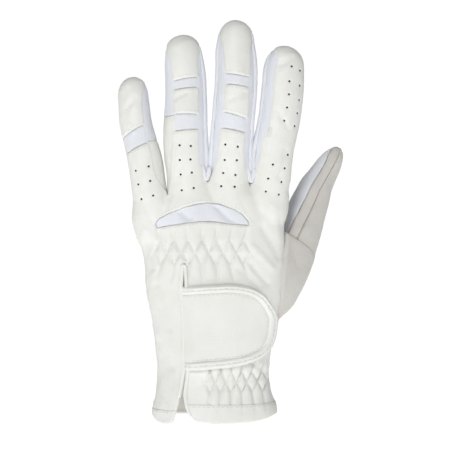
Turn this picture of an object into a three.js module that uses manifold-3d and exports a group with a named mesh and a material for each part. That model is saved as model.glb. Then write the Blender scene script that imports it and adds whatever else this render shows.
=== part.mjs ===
// Left riding glove, filled as it is when worn. Fingers point up (+Z), the back of the hand faces -Y,
// the thumb is on the +X side. Millimetres. The origin is the middle of the wrist opening, level with
// the lowest point of the cuff.
import * as THREE from 'three';
import { mergeVertices } from 'three/addons/utils/BufferGeometryUtils.js';
import Module from 'manifold-3d';

const wasm = await Module();
wasm.setup();

// Hand
const handHeight = 133; // cuff edge to the fork between ring and middle finger
const knuckleWidth = 86;
const handDepth = 40;
const handSquareness = 2.3; // exponent of the oval section, 2 is an ellipse

// Digits: length from inside the hand to the tip, and the size of the section
const little = { length: 85.4, width: 19.8, depth: 17.6 };
const ring = { length: 93.2, width: 24.2, depth: 20 };
const middle = { length: 99.5, width: 23, depth: 20.4 };
const index = { length: 89.1, width: 23, depth: 20 };
const thumb = { length: 89, width: 26, depth: 24 };

// Walls and seams
const leatherWall = 1.6;
const stretchRecess = 0.4; // the stretch fabric lies this far below the leather
const seamGap = 0.3;
const partingDepth = -2.5; // y of the seam between the back and the palm side
const tipPartingDepth = 1.5; // the same at the fingertips, which curl towards the palm
const gatherHeight = 1; // how far an elastic gather puffs out
const perforationWidth = 1.2;

// Slit, closure and cuff
const slitBinding = 2.2;
const strapThickness = 2;
const bindingThickness = 2.7;
const strapRim = 5;
const padThickness = 1.2;
const padMargin = 9;

// Where each digit starts, as shares of the knuckle width, hand depth and hand height
little.root = [-0.36, -0.05, 0.787];
ring.root = [-0.158, -0.075, 0.902];
middle.root = [0.112, -0.075, 0.917];
index.root = [0.353, -0.05, 0.887];
thumb.root = [0.35, 0.1, 0.466];

// Digit sections. Columns: along, sideways drift and backward drift as shares of the length,
// girth as a share of the digit's width and depth
little.sections = [
  [0, 0, 0, 1], [0.117, -0.018, -0.012, 1], [0.279, -0.041, -0.015, 1], [0.42, -0.063, -0.008, 0.99],
  [0.575, -0.101, 0.012, 0.945], [0.73, -0.136, 0.04, 0.92], [0.8, -0.143, 0.055, 0.9],
  [1, -0.159, 0.1, 0.84],
];
ring.sections = [
  [0, 0, 0, 1], [0.15, -0.002, -0.012, 0.97], [0.292, -0.012, -0.014, 1], [0.433, -0.016, -0.005, 1],
  [0.575, -0.014, 0.012, 0.96], [0.717, -0.016, 0.036, 0.93], [0.82, -0.024, 0.056, 0.9],
  [1, -0.026, 0.1, 0.84],
];
middle.sections = [
  [0, 0, 0, 1], [0.187, 0.006, -0.012, 0.985], [0.32, 0.011, -0.014, 0.98], [0.452, 0.022, -0.006, 0.98],
  [0.585, 0.033, 0.012, 0.98], [0.684, 0.038, 0.03, 0.97], [0.82, 0.035, 0.058, 0.93], [1, 0.036, 0.1, 0.85],
];
index.sections = [
  [0, 0, 0, 0.93], [0.136, 0.017, -0.01, 0.93], [0.241, 0.029, -0.014, 0.95], [0.358, 0.044, -0.01, 0.965],
  [0.457, 0.064, 0, 0.99], [0.575, 0.085, 0.018, 1], [0.679, 0.097, 0.035, 1], [0.82, 0.107, 0.06, 0.97],
  [1, 0.12, 0.1, 0.9],
];
thumb.sections = [
  [0, -0.02, 0, 0.5], [0.06, 0.03, 0.025, 0.8], [0.14, 0.075, 0.05, 0.96], [0.265, 0.133, 0.09, 1],
  [0.407, 0.182, 0.135, 0.97], [0.53, 0.219, 0.18, 0.9], [0.654, 0.263, 0.213, 0.81],
  [0.747, 0.297, 0.242, 0.73], [0.827, 0.343, 0.264, 0.63], [1, 0.448, 0.281, 0.5],
];
// Share of the length at which the rounded tip starts
little.dome = 0.84;
ring.dome = 0.85;
middle.dome = 0.85;
index.dome = 0.84;
thumb.dome = 0.76;

// Hand sections. Columns: rise as a share of the hand height, left and right edge as shares of the
// knuckle width, back and palm side as shares of the hand depth
const handSections = [
  [0, 0.386, 0.418, 0.575, 0.575], [0.06, 0.38, 0.41, 0.555, 0.555], [0.115, 0.365, 0.384, 0.53, 0.53],
  [0.21, 0.352, 0.367, 0.495, 0.5], [0.29, 0.365, 0.38, 0.48, 0.5], [0.44, 0.391, 0.422, 0.46, 0.5],
  [0.51, 0.416, 0.453, 0.45, 0.485], [0.66, 0.442, 0.465, 0.425, 0.45], [0.76, 0.473, 0.464, 0.4, 0.42],
  [0.86, 0.495, 0.463, 0.37, 0.37], [0.9, 0.44, 0.465, 0.345, 0.34], [0.935, 0.32, 0.45, 0.315, 0.29],
  [0.975, 0.2, 0.3, 0.25, 0.2], [1, 0.09, 0.12, 0.15, 0.1],
];
const gatheredRises = [
  0, 0.075, 0.125, 0.168, 0.21, 0.27, 0.4, 0.54, 0.62, 0.66, 0.695, 0.73, 0.78, 0.85, 0.9, 0.945, 0.98, 1,
];
const plainRises = [0, 0.115, 0.21, 0.33, 0.45, 0.57, 0.695, 0.8, 0.88, 0.92, 0.955, 0.985, 1];

// Rows of elastic gathers. Columns: rise and half height as shares of the hand height, first and last
// gather as shares of the half width, number of gathers
const gatherRows = [
  [0.695, 0.05, -0.716, 0.435, 7],
  [0.168, 0.042, -0.03, 0.87, 6],
];

// Seams between the back of a digit and its sides. Columns: along, across as a share of the half width
const seams = {
  littleRight: [[0.2, 0.66], [0.3, 0.52], [0.55, 0.53], [0.68, 0.58], [0.85, 0.66], [0.95, 1.2]],
  ringLeft: [
    [0.06, -0.9], [0.21, -0.75], [0.33, -0.6], [0.5, -0.54], [0.65, -0.63], [0.8, -0.68], [0.93, -1.2],
  ],
  ringRight: [[0.14, 0.78], [0.21, 0.68], [0.33, 0.68], [0.5, 0.7], [0.72, 0.74], [0.82, 0.8], [0.93, 1.2]],
  middleLeft: [[0.11, -0.83], [0.23, -0.72], [0.4, -0.61], [0.68, -0.6], [0.8, -0.66], [0.93, -1.2]],
  middleRight: [
    [0.09, 0.93], [0.176, 0.75], [0.286, 0.67], [0.36, 0.72], [0.65, 0.74], [0.8, 0.8], [0.93, 1.2],
  ],
  indexLeft: [
    [0.14, -0.93], [0.38, -0.86], [0.4, -0.6], [0.556, -0.53], [0.8, -0.53], [0.92, -0.4], [1, -1.2],
  ],
};
// Where the strip of leather between little and ring finger ends, as shares of their lengths
const splitLittle = 0.55;
const splitRing = 0.5;

// The forks between the fingers. Columns: rise, across as a share of the half width
const forks = { littleRing: [0.9, -0.68], ringMiddle: [0.975, -0.1], middleIndex: [0.925, 0.52] };

// Seams straight across the back of a digit. Columns: along at the middle, slant per half width
const crossSeams = {
  little: [[0.533, 0.043], [0.64, 0.05]],
  ring: [[0.415, 0.015], [0.507, 0], [0.657, 0.013], [0.712, 0.016]],
  middle: [[0.373, -0.02], [0.453, -0.028], [0.611, -0.014], [0.667, -0.017]],
  index: [[0.403, 0]],
};

// Vent holes. Columns: along, across
const perforations = new Map([
  [little, [[0.388, -0.6], [0.399, 0.17], [0.301, -0.57], [0.311, 0.12], [0.209, -0.52], [0.22, 0.17]]],
  [ring, [[0.329, -0.23], [0.323, 0.29], [0.25, -0.26], [0.248, 0.24], [0.168, -0.27], [0.175, 0.26],
    [0.079, -0.24], [0.091, 0.32]]],
  [middle, [[0.294, -0.29], [0.286, 0.32], [0.214, -0.31], [0.214, 0.3], [0.144, -0.35], [0.136, 0.26],
    [0.074, -0.42], [0.073, 0.23]]],
  [index, [[0.846, 0.34], [0.753, 0.26], [0.673, 0.27], [0.593, 0.25], [0.513, 0.22], [0.834, 0.78],
    [0.741, 0.79], [0.655, 0.8], [0.577, 0.79], [0.5, 0.77], [0.323, 0.74], [0.253, 0.02], [0.241, 0.66],
    [0.171, -0.14], [0.159, 0.58], [0.094, -0.18], [0.084, 0.52]]],
]);

// Outlines on the back of the hand. Columns: rise, across as a share of the half width
const ventOutline = [
  [0.796, -0.7], [0.821, -0.684], [0.858, -0.53], [0.879, -0.351], [0.894, -0.191], [0.901, -0.03],
  [0.895, 0.12], [0.874, 0.32], [0.837, 0.506], [0.821, 0.524], [0.807, 0.466], [0.813, 0.32], [0.824, 0.055],
  [0.824, -0.125], [0.815, -0.35], [0.806, -0.563],
];
const slitOutline = [
  [0.648, -0.422], [0.635, -0.482], [0.561, -0.467], [0.325, -0.474], [0.234, -0.485], [0.164, -0.523],
  [0.098, -0.565], [0.065, -0.59], [-0.03, -0.75], [-0.03, -0.25], [0.03, -0.33], [0.069, -0.43],
  [0.118, -0.474], [0.213, -0.445], [0.304, -0.43], [0.428, -0.411], [0.561, -0.376], [0.627, -0.352],
];
const strapOutline = [
  [0.558, -0.44], [0.566, -0.05], [0.568, 0.288], [0.558, 0.49], [0.528, 0.69], [0.478, 0.845],
  [0.428, 0.958], [0.384, 0.985], [0.342, 0.985], [0.304, 0.95], [0.269, 0.832], [0.242, 0.601],
  [0.228, 0.277], [0.22, -0.06], [0.212, -0.47],
];
// The lower edge of the cuff, on the back and on the palm side. Columns: across as a share of the half
// width, rise
const backEdge = [
  [-1.6, 0.06], [-1, 0.028], [-0.9, 0], [-0.72, 0], [-0.6, 0.02], [-0.43, 0.04], [-0.3, 0.014],
  [0, 0.006], [0.55, 0.01], [0.8, 0.02], [1, 0.034], [1.6, 0.06],
];
const palmEdge = [[-1.6, 0.06], [-1, 0.028], [-0.6, 0.01], [0.5, 0.01], [1, 0.034], [1.6, 0.06]];
// Top of the hem band and of the flap's hem
const hemRise = 0.082;
const flapHemRise = 0.055;
// The seam round the base of the thumb. Columns: rise, across
const thumbSeam = [[0.79, 0.6], [0.763, 1.015], [0.694, 1.219], [0.684, 1.4], [0.66, 1.9]];
// Seams along the thumb. Columns: along, across as a share of the half width
const gussetSeam = [[0.3, -0.6], [0.58, -0.36], [0.75, -0.3], [0.9, -0.45], [1, -1]];
const thumbStripSeam = [[0.3, -0.1], [0.58, 0.2], [0.75, 0.3], [0.9, 0.4], [1.05, 0.5]];

// Reads a table at a value of its first column, with a smooth curve through the rows
function readTable(rows, at) {
  const last = rows.length - 1;
  const above = rows.findIndex((row) => row[0] > at);
  const start = Math.max(0, (above < 0 ? last : above) - 1);
  const [a, b] = [rows[start], rows[start + 1]];
  const before = rows[Math.max(0, start - 1)];
  const after = rows[Math.min(last, start + 2)];
  const span = b[0] - a[0];
  const u = (at - a[0]) / span;
  return a.slice(1).map((value, k) => {
    const column = k + 1;
    const slopeA = span * (b[column] - before[column]) / (b[0] - before[0]);
    const slopeB = span * (after[column] - a[column]) / (after[0] - a[0]);
    const u2 = u * u;
    const u3 = u2 * u;
    return value * (2 * u3 - 3 * u2 + 1) + slopeA * (u3 - 2 * u2 + u)
      + b[column] * (3 * u2 - 2 * u3) + slopeB * (u3 - u2);
  });
}

// A closed solid through a list of rings of points, all with the same count
function loft(rings) {
  const count = rings[0].length;
  const middleOf = (ring) => {
    const sum = ring.reduce((total, point) => total.add(point), new THREE.Vector3());
    return sum.divideScalar(count);
  };
  const points = [...rings.flat(), middleOf(rings[0]), middleOf(rings[rings.length - 1])];
  const faces = [];
  for (let row = 0; row < rings.length - 1; row += 1) {
    for (let column = 0; column < count; column += 1) {
      const a = row * count + column;
      const b = row * count + (column + 1) % count;
      faces.push(a, b, a + count, b, b + count, a + count);
    }
  }
  const top = (rings.length - 1) * count;
  for (let column = 0; column < count; column += 1) {
    const next = (column + 1) % count;
    faces.push(points.length - 2, next, column);
    faces.push(points.length - 1, top + column, top + next);
  }
  return new wasm.Manifold(new wasm.Mesh({
    numProp: 3,
    vertProperties: new Float32Array(points.flatMap((p) => [p.x, p.y, p.z])),
    triVerts: new Uint32Array(faces),
  }));
}

// A three.js geometry as a solid for joining and cutting
function solidOf(geometry) {
  geometry.deleteAttribute('normal');
  geometry.deleteAttribute('uv');
  const merged = mergeVertices(geometry);
  return new wasm.Manifold(new wasm.Mesh({
    numProp: 3,
    vertProperties: new Float32Array(merged.attributes.position.array),
    triVerts: new Uint32Array(merged.index.array),
  }));
}

// The half width, half depth and middle of the hand at a rise
function handSection(rise, inset) {
  const [left, right, back, palm] = readTable(handSections, Math.max(0, Math.min(1, rise)));
  return {
    middle: (right - left) * knuckleWidth / 2,
    halfWidth: (right + left) * knuckleWidth / 2 - inset,
    back: back * handDepth - inset,
    palm: palm * handDepth - inset,
    z: rise * handHeight,
  };
}

// How far the leather puffs out at a place on the back of the hand: diamonds on the middle of a row of
// gathers, and folds that run on above and below, between the diamonds
function gatherRelief(rise, across) {
  const diamondSharpness = 2.5;
  const foldPlace = 1.3; // in half heights of the row
  const foldSharpness = 3;
  const foldShare = 0.8;
  let relief = 0;
  for (const [centre, half, first, last, count] of gatherRows) {
    const pitch = (last - first) / (count - 1);
    const inside = across > first - pitch / 2 && across < last + pitch / 2;
    const wave = Math.cos(2 * Math.PI * (across - first) / pitch);
    const distance = (rise - centre) / half;
    const diamonds = Math.exp(-(distance ** 2) * diamondSharpness);
    const folds = foldShare * Math.exp(-((Math.abs(distance) - foldPlace) ** 2) * foldSharpness);
    if (inside) relief += gatherHeight * ((0.5 + 0.5 * wave) * diamonds + (0.5 - 0.5 * wave) * folds);
  }
  return relief;
}

// Shares of the half width round the hand: across the back from left to right, then the palm side
function handRing(rise, inset, z, gathered, fine) {
  const { middle: centre, halfWidth, back, palm } = handSection(rise, inset);
  const [backColumns, palmColumns] = fine ? [26, 4] : [12, 8];
  const crowding = fine ? 0.35 : 1; // how much the columns crowd towards the edges of the hand
  const points = [];
  const place = (across, depth, side) => {
    const share = Math.max(0, 1 - Math.abs(across) ** handSquareness) ** (1 / handSquareness);
    const relief = gathered && side < 0 ? gatherRelief(rise, across) : 0;
    points.push(new THREE.Vector3(centre + across * halfWidth, side * (depth * share + relief), z));
  };
  for (let k = 0; k < backColumns; k += 1) {
    const u = 2 * k / backColumns - 1;
    place(Math.sin(u * Math.PI / 2) * crowding + u * (1 - crowding), back, -1);
  }
  for (let k = 0; k < palmColumns; k += 1) {
    place(Math.cos(Math.PI * k / palmColumns), palm, 1);
  }
  return points;
}

// The hand without its digits. A lining runs out below the cuff.
function handBody(inset, { gathered = false, fine = false, open = false } = {}) {
  const rises = fine ? gatheredRises : plainRises;
  const rings = rises.map((rise) => handRing(rise, inset, rise * (handHeight - inset), gathered, fine));
  if (open) rings.unshift(handRing(0, inset, -handDepth / 4, false, fine));
  return loft(rings);
}

// Middle, directions and half sizes of a digit's section
function digitSection(digit, along) {
  const spine = (t) => {
    const [sideways, backward] = readTable(digit.sections, t);
    const [x, y, z] = digit.root;
    return new THREE.Vector3(
      x * knuckleWidth + sideways * digit.length,
      y * handDepth + backward * digit.length,
      z * handHeight + t * digit.length,
    );
  };
  const step = 0.01;
  const forward = spine(along + step).sub(spine(along - step)).normalize();
  const across = new THREE.Vector3(0, 1, 0).cross(forward).normalize();
  const girth = readTable(digit.sections, along)[2];
  return {
    centre: spine(along),
    across,
    back: forward.clone().cross(across),
    halfWidth: girth * digit.width / 2,
    halfDepth: girth * digit.depth / 2,
  };
}

const domeRings = [30, 56, 80]; // degrees round the rounded tip

// One digit as a solid with a rounded tip
function digitBody(digit, inset, sides = 12, rows = 5) {
  const rings = [];
  const addRing = (along, shrink) => {
    const section = digitSection(digit, along);
    const points = [];
    for (let k = 0; k < sides; k += 1) {
      const angle = 2 * Math.PI * k / sides;
      const u = Math.sin(angle) * (section.halfWidth - inset) * shrink;
      const v = Math.cos(angle) * (section.halfDepth - inset) * shrink;
      const sideways = section.centre.clone().addScaledVector(section.across, -u);
      points.push(sideways.addScaledVector(section.back, v));
    }
    rings.push(points);
  };
  for (let row = 0; row <= rows; row += 1) addRing(digit.dome * row / rows, 1);
  const reach = 1 - digit.dome - inset / digit.length;
  for (const degrees of domeRings) {
    const angle = degrees * Math.PI / 180;
    addRing(digit.dome + reach * Math.sin(angle), Math.cos(angle));
  }
  return loft(rings);
}

const fingers = [little, ring, middle, index];
const join = (solids) => solids.reduce((sum, next) => sum.add(next));

// A point of the front view, from shares of the hand or of a digit
function onHand([rise, across]) {
  const { middle: centre, halfWidth, z } = handSection(rise, 0);
  return [centre + across * halfWidth, z];
}
function onDigit(digit, [along, across]) {
  const section = digitSection(digit, Math.min(1, along));
  const past = Math.max(0, along - 1) * digit.length;
  return [
    section.centre.x + across * section.halfWidth * section.across.x,
    section.centre.z + across * section.halfWidth * section.across.z + past,
  ];
}

// Moves an outline outwards by a distance, with sharp corners kept
function grow(outline, distance) {
  const sharpest = 0.35; // holds the point of a very sharp corner back
  const area = outline.reduce((sum, [x, z], k) => {
    const [nextX, nextZ] = outline[(k + 1) % outline.length];
    return sum + x * nextZ - nextX * z;
  }, 0);
  const turn = Math.sign(area);
  const normal = ([ax, az], [bx, bz]) => {
    const length = Math.hypot(bx - ax, bz - az);
    return [turn * (bz - az) / length, -turn * (bx - ax) / length];
  };
  return outline.map((point, k) => {
    const [n1x, n1z] = normal(outline[(k + outline.length - 1) % outline.length], point);
    const [n2x, n2z] = normal(point, outline[(k + 1) % outline.length]);
    const scale = distance / Math.max(sharpest, 1 + n1x * n2x + n1z * n2z);
    return [point[0] + (n1x + n2x) * scale, point[1] + (n1z + n2z) * scale];
  });
}

const farAway = 60;

// A front-view outline carried through the glove from one depth to another
function prism(outline, front = -farAway, rear = farAway) {
  const shape = new THREE.Shape(outline.map(([x, z]) => new THREE.Vector2(x, z)));
  const geometry = new THREE.ExtrudeGeometry(shape, { depth: rear - front, bevelEnabled: false });
  geometry.rotateX(Math.PI / 2);
  geometry.translate(0, rear, 0);
  return solidOf(geometry);
}

// A strip across a digit between two of its cross seams
function digitStrip(digit, low, high, reach = 1.12) {
  const edge = ([middleAlong, slant], across) => onDigit(digit, [middleAlong + slant * across, across]);
  const lowEdge = [-reach, 0, reach].map((across) => edge(low, across));
  const highEdge = [reach, 0, -reach].map((across) => edge(high, across));
  return [...lowEdge, ...highEdge];
}

const fingerBodies = join(fingers.map((digit) => digitBody(digit, 0)));
const gatheredBack = handBody(0, { gathered: true, fine: true }).add(fingerBodies);
const plainHand = handBody(0).add(fingerBodies);
const stretchLevel = join([
  handBody(stretchRecess),
  ...fingers.map((digit) => digitBody(digit, stretchRecess)),
]);
const thumbOutside = digitBody(thumb, 0, 14, 6);
const hollow = join([
  handBody(leatherWall, { open: true }),
  ...fingers.map((digit) => digitBody(digit, leatherWall, 10, 4)),
  digitBody(thumb, leatherWall, 12, 5),
]);

// Front-view fields above and below the seam round the thumb base
const thumbSeamLine = thumbSeam.map(onHand);
const aboveThumbSeam = [
  ...thumbSeamLine, [3 * farAway, thumbSeamLine.at(-1)[1]], [3 * farAway, 3 * farAway],
  [thumbSeamLine[0][0], 3 * farAway],
];

// The wall still to be cut into panels: the back with its gathers, and the plain palm side
function below(edge) {
  const line = edge.map(([across, rise]) => onHand([rise, across]));
  return [...line, [2 * farAway, -farAway], [-2 * farAway, -farAway]];
}
const underBackEdge = prism(below(backEdge), -farAway, partingDepth);
const underPalmEdge = prism(below(palmEdge), partingDepth, farAway);
const underCuff = underBackEdge.add(underPalmEdge);
let backRest = gatheredBack.subtract(hollow).subtract(underCuff);
let palmRest = plainHand.subtract(hollow).subtract(underCuff);

const materials = {
  leather: new THREE.MeshStandardMaterial({ color: 0xf1f2ed, roughness: 0.55, metalness: 0 }),
  palm: new THREE.MeshStandardMaterial({ color: 0xe9e7e1, roughness: 0.6, metalness: 0 }),
  stretch: new THREE.MeshStandardMaterial({ color: 0xeef1f5, roughness: 0.8, metalness: 0 }),
  binding: new THREE.MeshStandardMaterial({ color: 0xf3f3ee, roughness: 0.5, metalness: 0 }),
  hookAndLoop: new THREE.MeshStandardMaterial({ color: 0xe6e6e2, roughness: 0.95, metalness: 0 }),
};

const glove = new THREE.Group();
glove.name = 'riding_glove';

function addPiece(name, solid, material) {
  const { vertProperties, triVerts } = solid.getMesh();
  const geometry = new THREE.BufferGeometry();
  geometry.setAttribute('position', new THREE.BufferAttribute(vertProperties, 3));
  geometry.setIndex(new THREE.BufferAttribute(triVerts, 1));
  geometry.computeVertexNormals();
  const mesh = new THREE.Mesh(geometry, material);
  mesh.name = name;
  glove.add(mesh);
}

// Cuts one panel out of what is left of the wall, with a seam gap round it
function takePanel(name, outline, { rear = partingDepth, stretch = false, palm = false } = {}) {
  const from = palm || rear === farAway ? palmRest : backRest;
  const front = palm ? partingDepth + seamGap : -farAway;
  const back = palm ? farAway : rear;
  const panel = from.intersect(prism(outline, front, back));
  const cut = prism(grow(outline, seamGap), front - seamGap, back + seamGap);
  if (!palm) backRest = backRest.subtract(cut);
  palmRest = palmRest.subtract(cut);
  const material = palm ? materials.palm : materials.leather;
  addPiece(name, stretch ? panel.intersect(stretchLevel) : panel, stretch ? materials.stretch : material);
}

// Vent holes through the back of the fingers
const holes = [];
for (const [digit, places] of perforations) {
  for (const place of places) {
    const [x, z] = onDigit(digit, place);
    const geometry = new THREE.CylinderGeometry(perforationWidth / 2, perforationWidth / 2, farAway, 5);
    geometry.translate(x, -farAway / 2, z);
    holes.push(solidOf(geometry));
  }
}
backRest = backRest.subtract(join(holes));

// Sides of the fingers: stretch fabric, with leather low down between little and ring finger
const seamOf = (digit, rows) => rows.map((row) => onDigit(digit, row));
const sideThrough = { rear: farAway, stretch: true };
function seamAbove(rows, from) {
  return [[from, ...readTable(rows, from)], ...rows.filter((row) => row[0] > from)];
}
function seamBelow(rows, to) {
  return [...rows.filter((row) => row[0] < to), [to, ...readTable(rows, to)]];
}
takePanel('little_side_stretch', [
  ...seamOf(little, seamAbove(seams.littleRight, splitLittle)), onDigit(little, [splitLittle, 1.2]),
], sideThrough);
takePanel('ring_side_stretch', [
  ...seamOf(ring, seamAbove(seams.ringLeft, splitRing)), onDigit(ring, [splitRing, -1.1]),
], sideThrough);
takePanel('side_strip_little_ring', [
  onHand(forks.littleRing), ...seamOf(ring, seamBelow(seams.ringLeft, splitRing)),
  onDigit(ring, [splitRing, -1.2]), onDigit(little, [splitLittle, 1.2]),
  ...seamOf(little, seamBelow(seams.littleRight, splitLittle)).reverse(),
], { rear: farAway });
takePanel('fourchette_ring_middle', [
  onHand(forks.ringMiddle), ...seamOf(middle, seams.middleLeft), ...seamOf(ring, seams.ringRight).reverse(),
], sideThrough);
takePanel('fourchette_middle_index', [
  onHand(forks.middleIndex), ...seamOf(index, seams.indexLeft), ...seamOf(middle, seams.middleRight).reverse(),
], sideThrough);

// Backs of the fingers, from the tip down
const pastTip = [1.15, 0];
const littleSeams = crossSeams.little;
const ringSeams = crossSeams.ring;
const middleSeams = crossSeams.middle;
const tip = { rear: tipPartingDepth };
takePanel('little_tip_back', digitStrip(little, littleSeams[1], pastTip, 1.3), tip);
takePanel('little_band', digitStrip(little, littleSeams[0], littleSeams[1], 1.3), { stretch: true });
takePanel('ring_tip_back', digitStrip(ring, ringSeams[3], pastTip), tip);
takePanel('ring_band_upper', digitStrip(ring, ringSeams[2], ringSeams[3]), { stretch: true });
takePanel('ring_joint_back', digitStrip(ring, ringSeams[1], ringSeams[2]));
takePanel('ring_band_lower', digitStrip(ring, ringSeams[0], ringSeams[1]), { stretch: true });
takePanel('middle_tip_back', digitStrip(middle, middleSeams[3], pastTip), tip);
takePanel('middle_band_upper', digitStrip(middle, middleSeams[2], middleSeams[3]), { stretch: true });
takePanel('middle_joint_back', digitStrip(middle, middleSeams[1], middleSeams[2]));
takePanel('middle_band_lower', digitStrip(middle, middleSeams[0], middleSeams[1]), { stretch: true });
takePanel('index_back', digitStrip(index, crossSeams.index[0], pastTip, 1.25), tip);

// Vent over the knuckles
takePanel('knuckle_vent', ventOutline.map(onHand), { stretch: true });

// Slit in the back of the cuff with its binding, and the two hems
const slit = slitOutline.map(onHand);
backRest = backRest.subtract(prism(slit, -farAway, partingDepth));
takePanel('slit_binding', grow(slit, slitBinding));
const flapEdge = onHand([0, -0.5])[0];
const hemTop = onHand([hemRise, 0])[1];
const flapHemTop = onHand([flapHemRise, 0])[1];
takePanel('flap_hem', [
  [-farAway, -farAway], [flapEdge, -farAway], [flapEdge, flapHemTop], [-farAway, flapHemTop],
]);
takePanel('cuff_hem', [
  [-farAway, -farAway], [farAway, -farAway], [farAway, hemTop], [-farAway, hemTop],
], { rear: farAway });

// Fronts of the fingers, above a seam at their roots. Reaches are shares of the half width
const frontSeam = 0.17;
const towardsFinger = 1.15;
const towardsAir = 1.6;
const rootReach = 0.75; // towards the next finger, at the seam
// Columns: name, digit, reach to the left and to the right
const fronts = [
  ['little', little, towardsAir, towardsFinger],
  ['ring', ring, towardsFinger, towardsFinger],
  ['middle', middle, towardsFinger, towardsFinger],
  ['index', index, towardsFinger, towardsAir],
];
for (const [name, digit, left, right] of fronts) {
  const reach = (along, side) => (along === frontSeam && side === towardsFinger ? rootReach : side);
  const steps = [frontSeam, 0.32, 0.4, 0.6, 0.8, pastTip[0]];
  const outline = [
    ...steps.map((along) => onDigit(digit, [along, reach(along, right)])),
    ...steps.reverse().map((along) => onDigit(digit, [along, -reach(along, left)])),
  ];
  takePanel(`${name}_front`, outline, { palm: true });
}

// Thumb, set in on the palm side of the index edge
const grownFingers = fingers.map((digit) => digitBody(digit, -seamGap));
const wholeThumb = thumbOutside.subtract(handBody(-seamGap)).subtract(join(grownFingers)).subtract(hollow);
const thumbWall = wholeThumb.intersect(prism(aboveThumbSeam));
addPiece('thumb_base', wholeThumb.subtract(prism(grow(aboveThumbSeam, seamGap))), materials.palm);
const gussetLine = seamOf(thumb, gussetSeam);
const stripLine = seamOf(thumb, thumbStripSeam);
// The front-view field on the left of a line
function leftOf(line) {
  return [...line, [-farAway, line.at(-1)[1]], [-farAway, line[0][1]]];
}
const gussetField = leftOf(gussetLine);
const stripField = leftOf(stripLine);
const thumbMiddle = digitSection(thumb, 0.6).centre.y;
const stripCut = prism(grow(stripField, seamGap), -farAway, thumbMiddle + seamGap);
const gussetCut = prism(grow(gussetField, seamGap));
const thumbStretch = digitBody(thumb, stretchRecess, 14, 6);
addPiece('thumb_gusset', thumbWall.intersect(prism(gussetField)).intersect(thumbStretch), materials.stretch);
const besideGusset = thumbWall.subtract(gussetCut);
const stripSide = prism(stripField, -farAway, thumbMiddle);
addPiece('thumb_strip', besideGusset.intersect(stripSide), materials.palm);
addPiece('thumb_panel', besideGusset.subtract(stripCut), materials.palm);

// What is left is the back of the hand and the palm
const everywhere = [
  [-2 * farAway, -farAway], [2 * farAway, -farAway], [2 * farAway, 5 * farAway], [-2 * farAway, 5 * farAway],
];
takePanel('back_panel', everywhere);
const backSide = prism(everywhere, -farAway, partingDepth + seamGap);
addPiece('palm_panel', palmRest.subtract(backSide), materials.palm);

// Closure: a pad of hook and loop on the back, and the strap with its bound rim over it
const strap = strapOutline.map(onHand);
const padLevel = seamGap;
const strapLevel = padLevel + padThickness + seamGap;
const strapField = grow(strap, -strapRim);
const backOnly = (outline) => prism(outline, -farAway, 0);
const openLeft = strapField.map(([x, z], k) => {
  const atEnd = k === 0 || k === strapField.length - 1;
  return [atEnd ? x - 2 * strapRim : x, z];
});
const layer = (from, thickness) => handBody(-from - thickness).subtract(handBody(-from));
const padField = backOnly(grow(strap, -padMargin));
addPiece('closure_pad', layer(padLevel, padThickness).intersect(padField), materials.hookAndLoop);
addPiece('closure_strap', layer(strapLevel, strapThickness)
  .intersect(backOnly(strap)).intersect(backOnly(grow(openLeft, -seamGap))), materials.leather);
addPiece('strap_binding', layer(strapLevel, bindingThickness)
  .intersect(backOnly(strap)).subtract(prism(openLeft)), materials.binding);

export default glove;
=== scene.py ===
# %% [markdown]
# # A left riding glove, filled as if it were worn
# The glove is sewn from thin panels: leather on the back, the palm and the fingertips, stretch fabric
# between the fingers and over the knuckles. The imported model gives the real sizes. This script dresses
# each of its solids with a fine surface, in metres and in the same frame.

# %% Load the frame
import math

import bpy
import numpy as np
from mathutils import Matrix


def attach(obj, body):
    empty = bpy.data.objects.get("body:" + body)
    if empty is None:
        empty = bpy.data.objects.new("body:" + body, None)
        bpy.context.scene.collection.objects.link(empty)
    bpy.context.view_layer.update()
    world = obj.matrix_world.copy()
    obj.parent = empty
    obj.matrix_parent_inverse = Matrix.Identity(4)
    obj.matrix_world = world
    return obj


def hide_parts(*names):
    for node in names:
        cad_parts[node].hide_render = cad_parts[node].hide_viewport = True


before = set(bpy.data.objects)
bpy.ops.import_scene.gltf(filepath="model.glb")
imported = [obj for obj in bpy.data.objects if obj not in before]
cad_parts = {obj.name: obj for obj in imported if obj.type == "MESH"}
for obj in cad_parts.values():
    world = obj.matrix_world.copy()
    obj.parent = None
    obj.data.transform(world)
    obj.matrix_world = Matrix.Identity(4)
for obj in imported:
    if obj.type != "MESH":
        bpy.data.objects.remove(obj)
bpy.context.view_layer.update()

MM = 0.001
print("nodes in the frame:", len(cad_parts))

# %% [markdown]
# ## The hand inside the glove
# A glove takes its form from a hand. The hand is a row of rounded sections, and each digit is a tube of
# oval sections along a bent spine. A table holds each as shares of a few sizes in millimetres, with a
# smooth curve through its rows. Sculpting would reach the same form, but a table can be read and changed.

# %% Sizes of the hand and its digits
HAND_HEIGHT = 133.0
KNUCKLE_WIDTH = 86.0
HAND_DEPTH = 40.0
SQUARENESS = 2.3  # exponent of the hand's oval section, 2 is an ellipse
BLUNTNESS = 3.0  # exponent of a digit's rounded tip, 2 is an ellipse


def digit(length, width, depth, dome, root, rows):
    """One digit. root is a share of knuckle width, hand depth and hand height. Each row of the table
    gives a share of the length, sideways and backward drift as such shares, and the girth."""
    place = np.array(root) * (KNUCKLE_WIDTH, HAND_DEPTH, HAND_HEIGHT)
    return dict(length=length, width=width, depth=depth, dome=dome, root=place, rows=np.array(rows))


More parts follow.
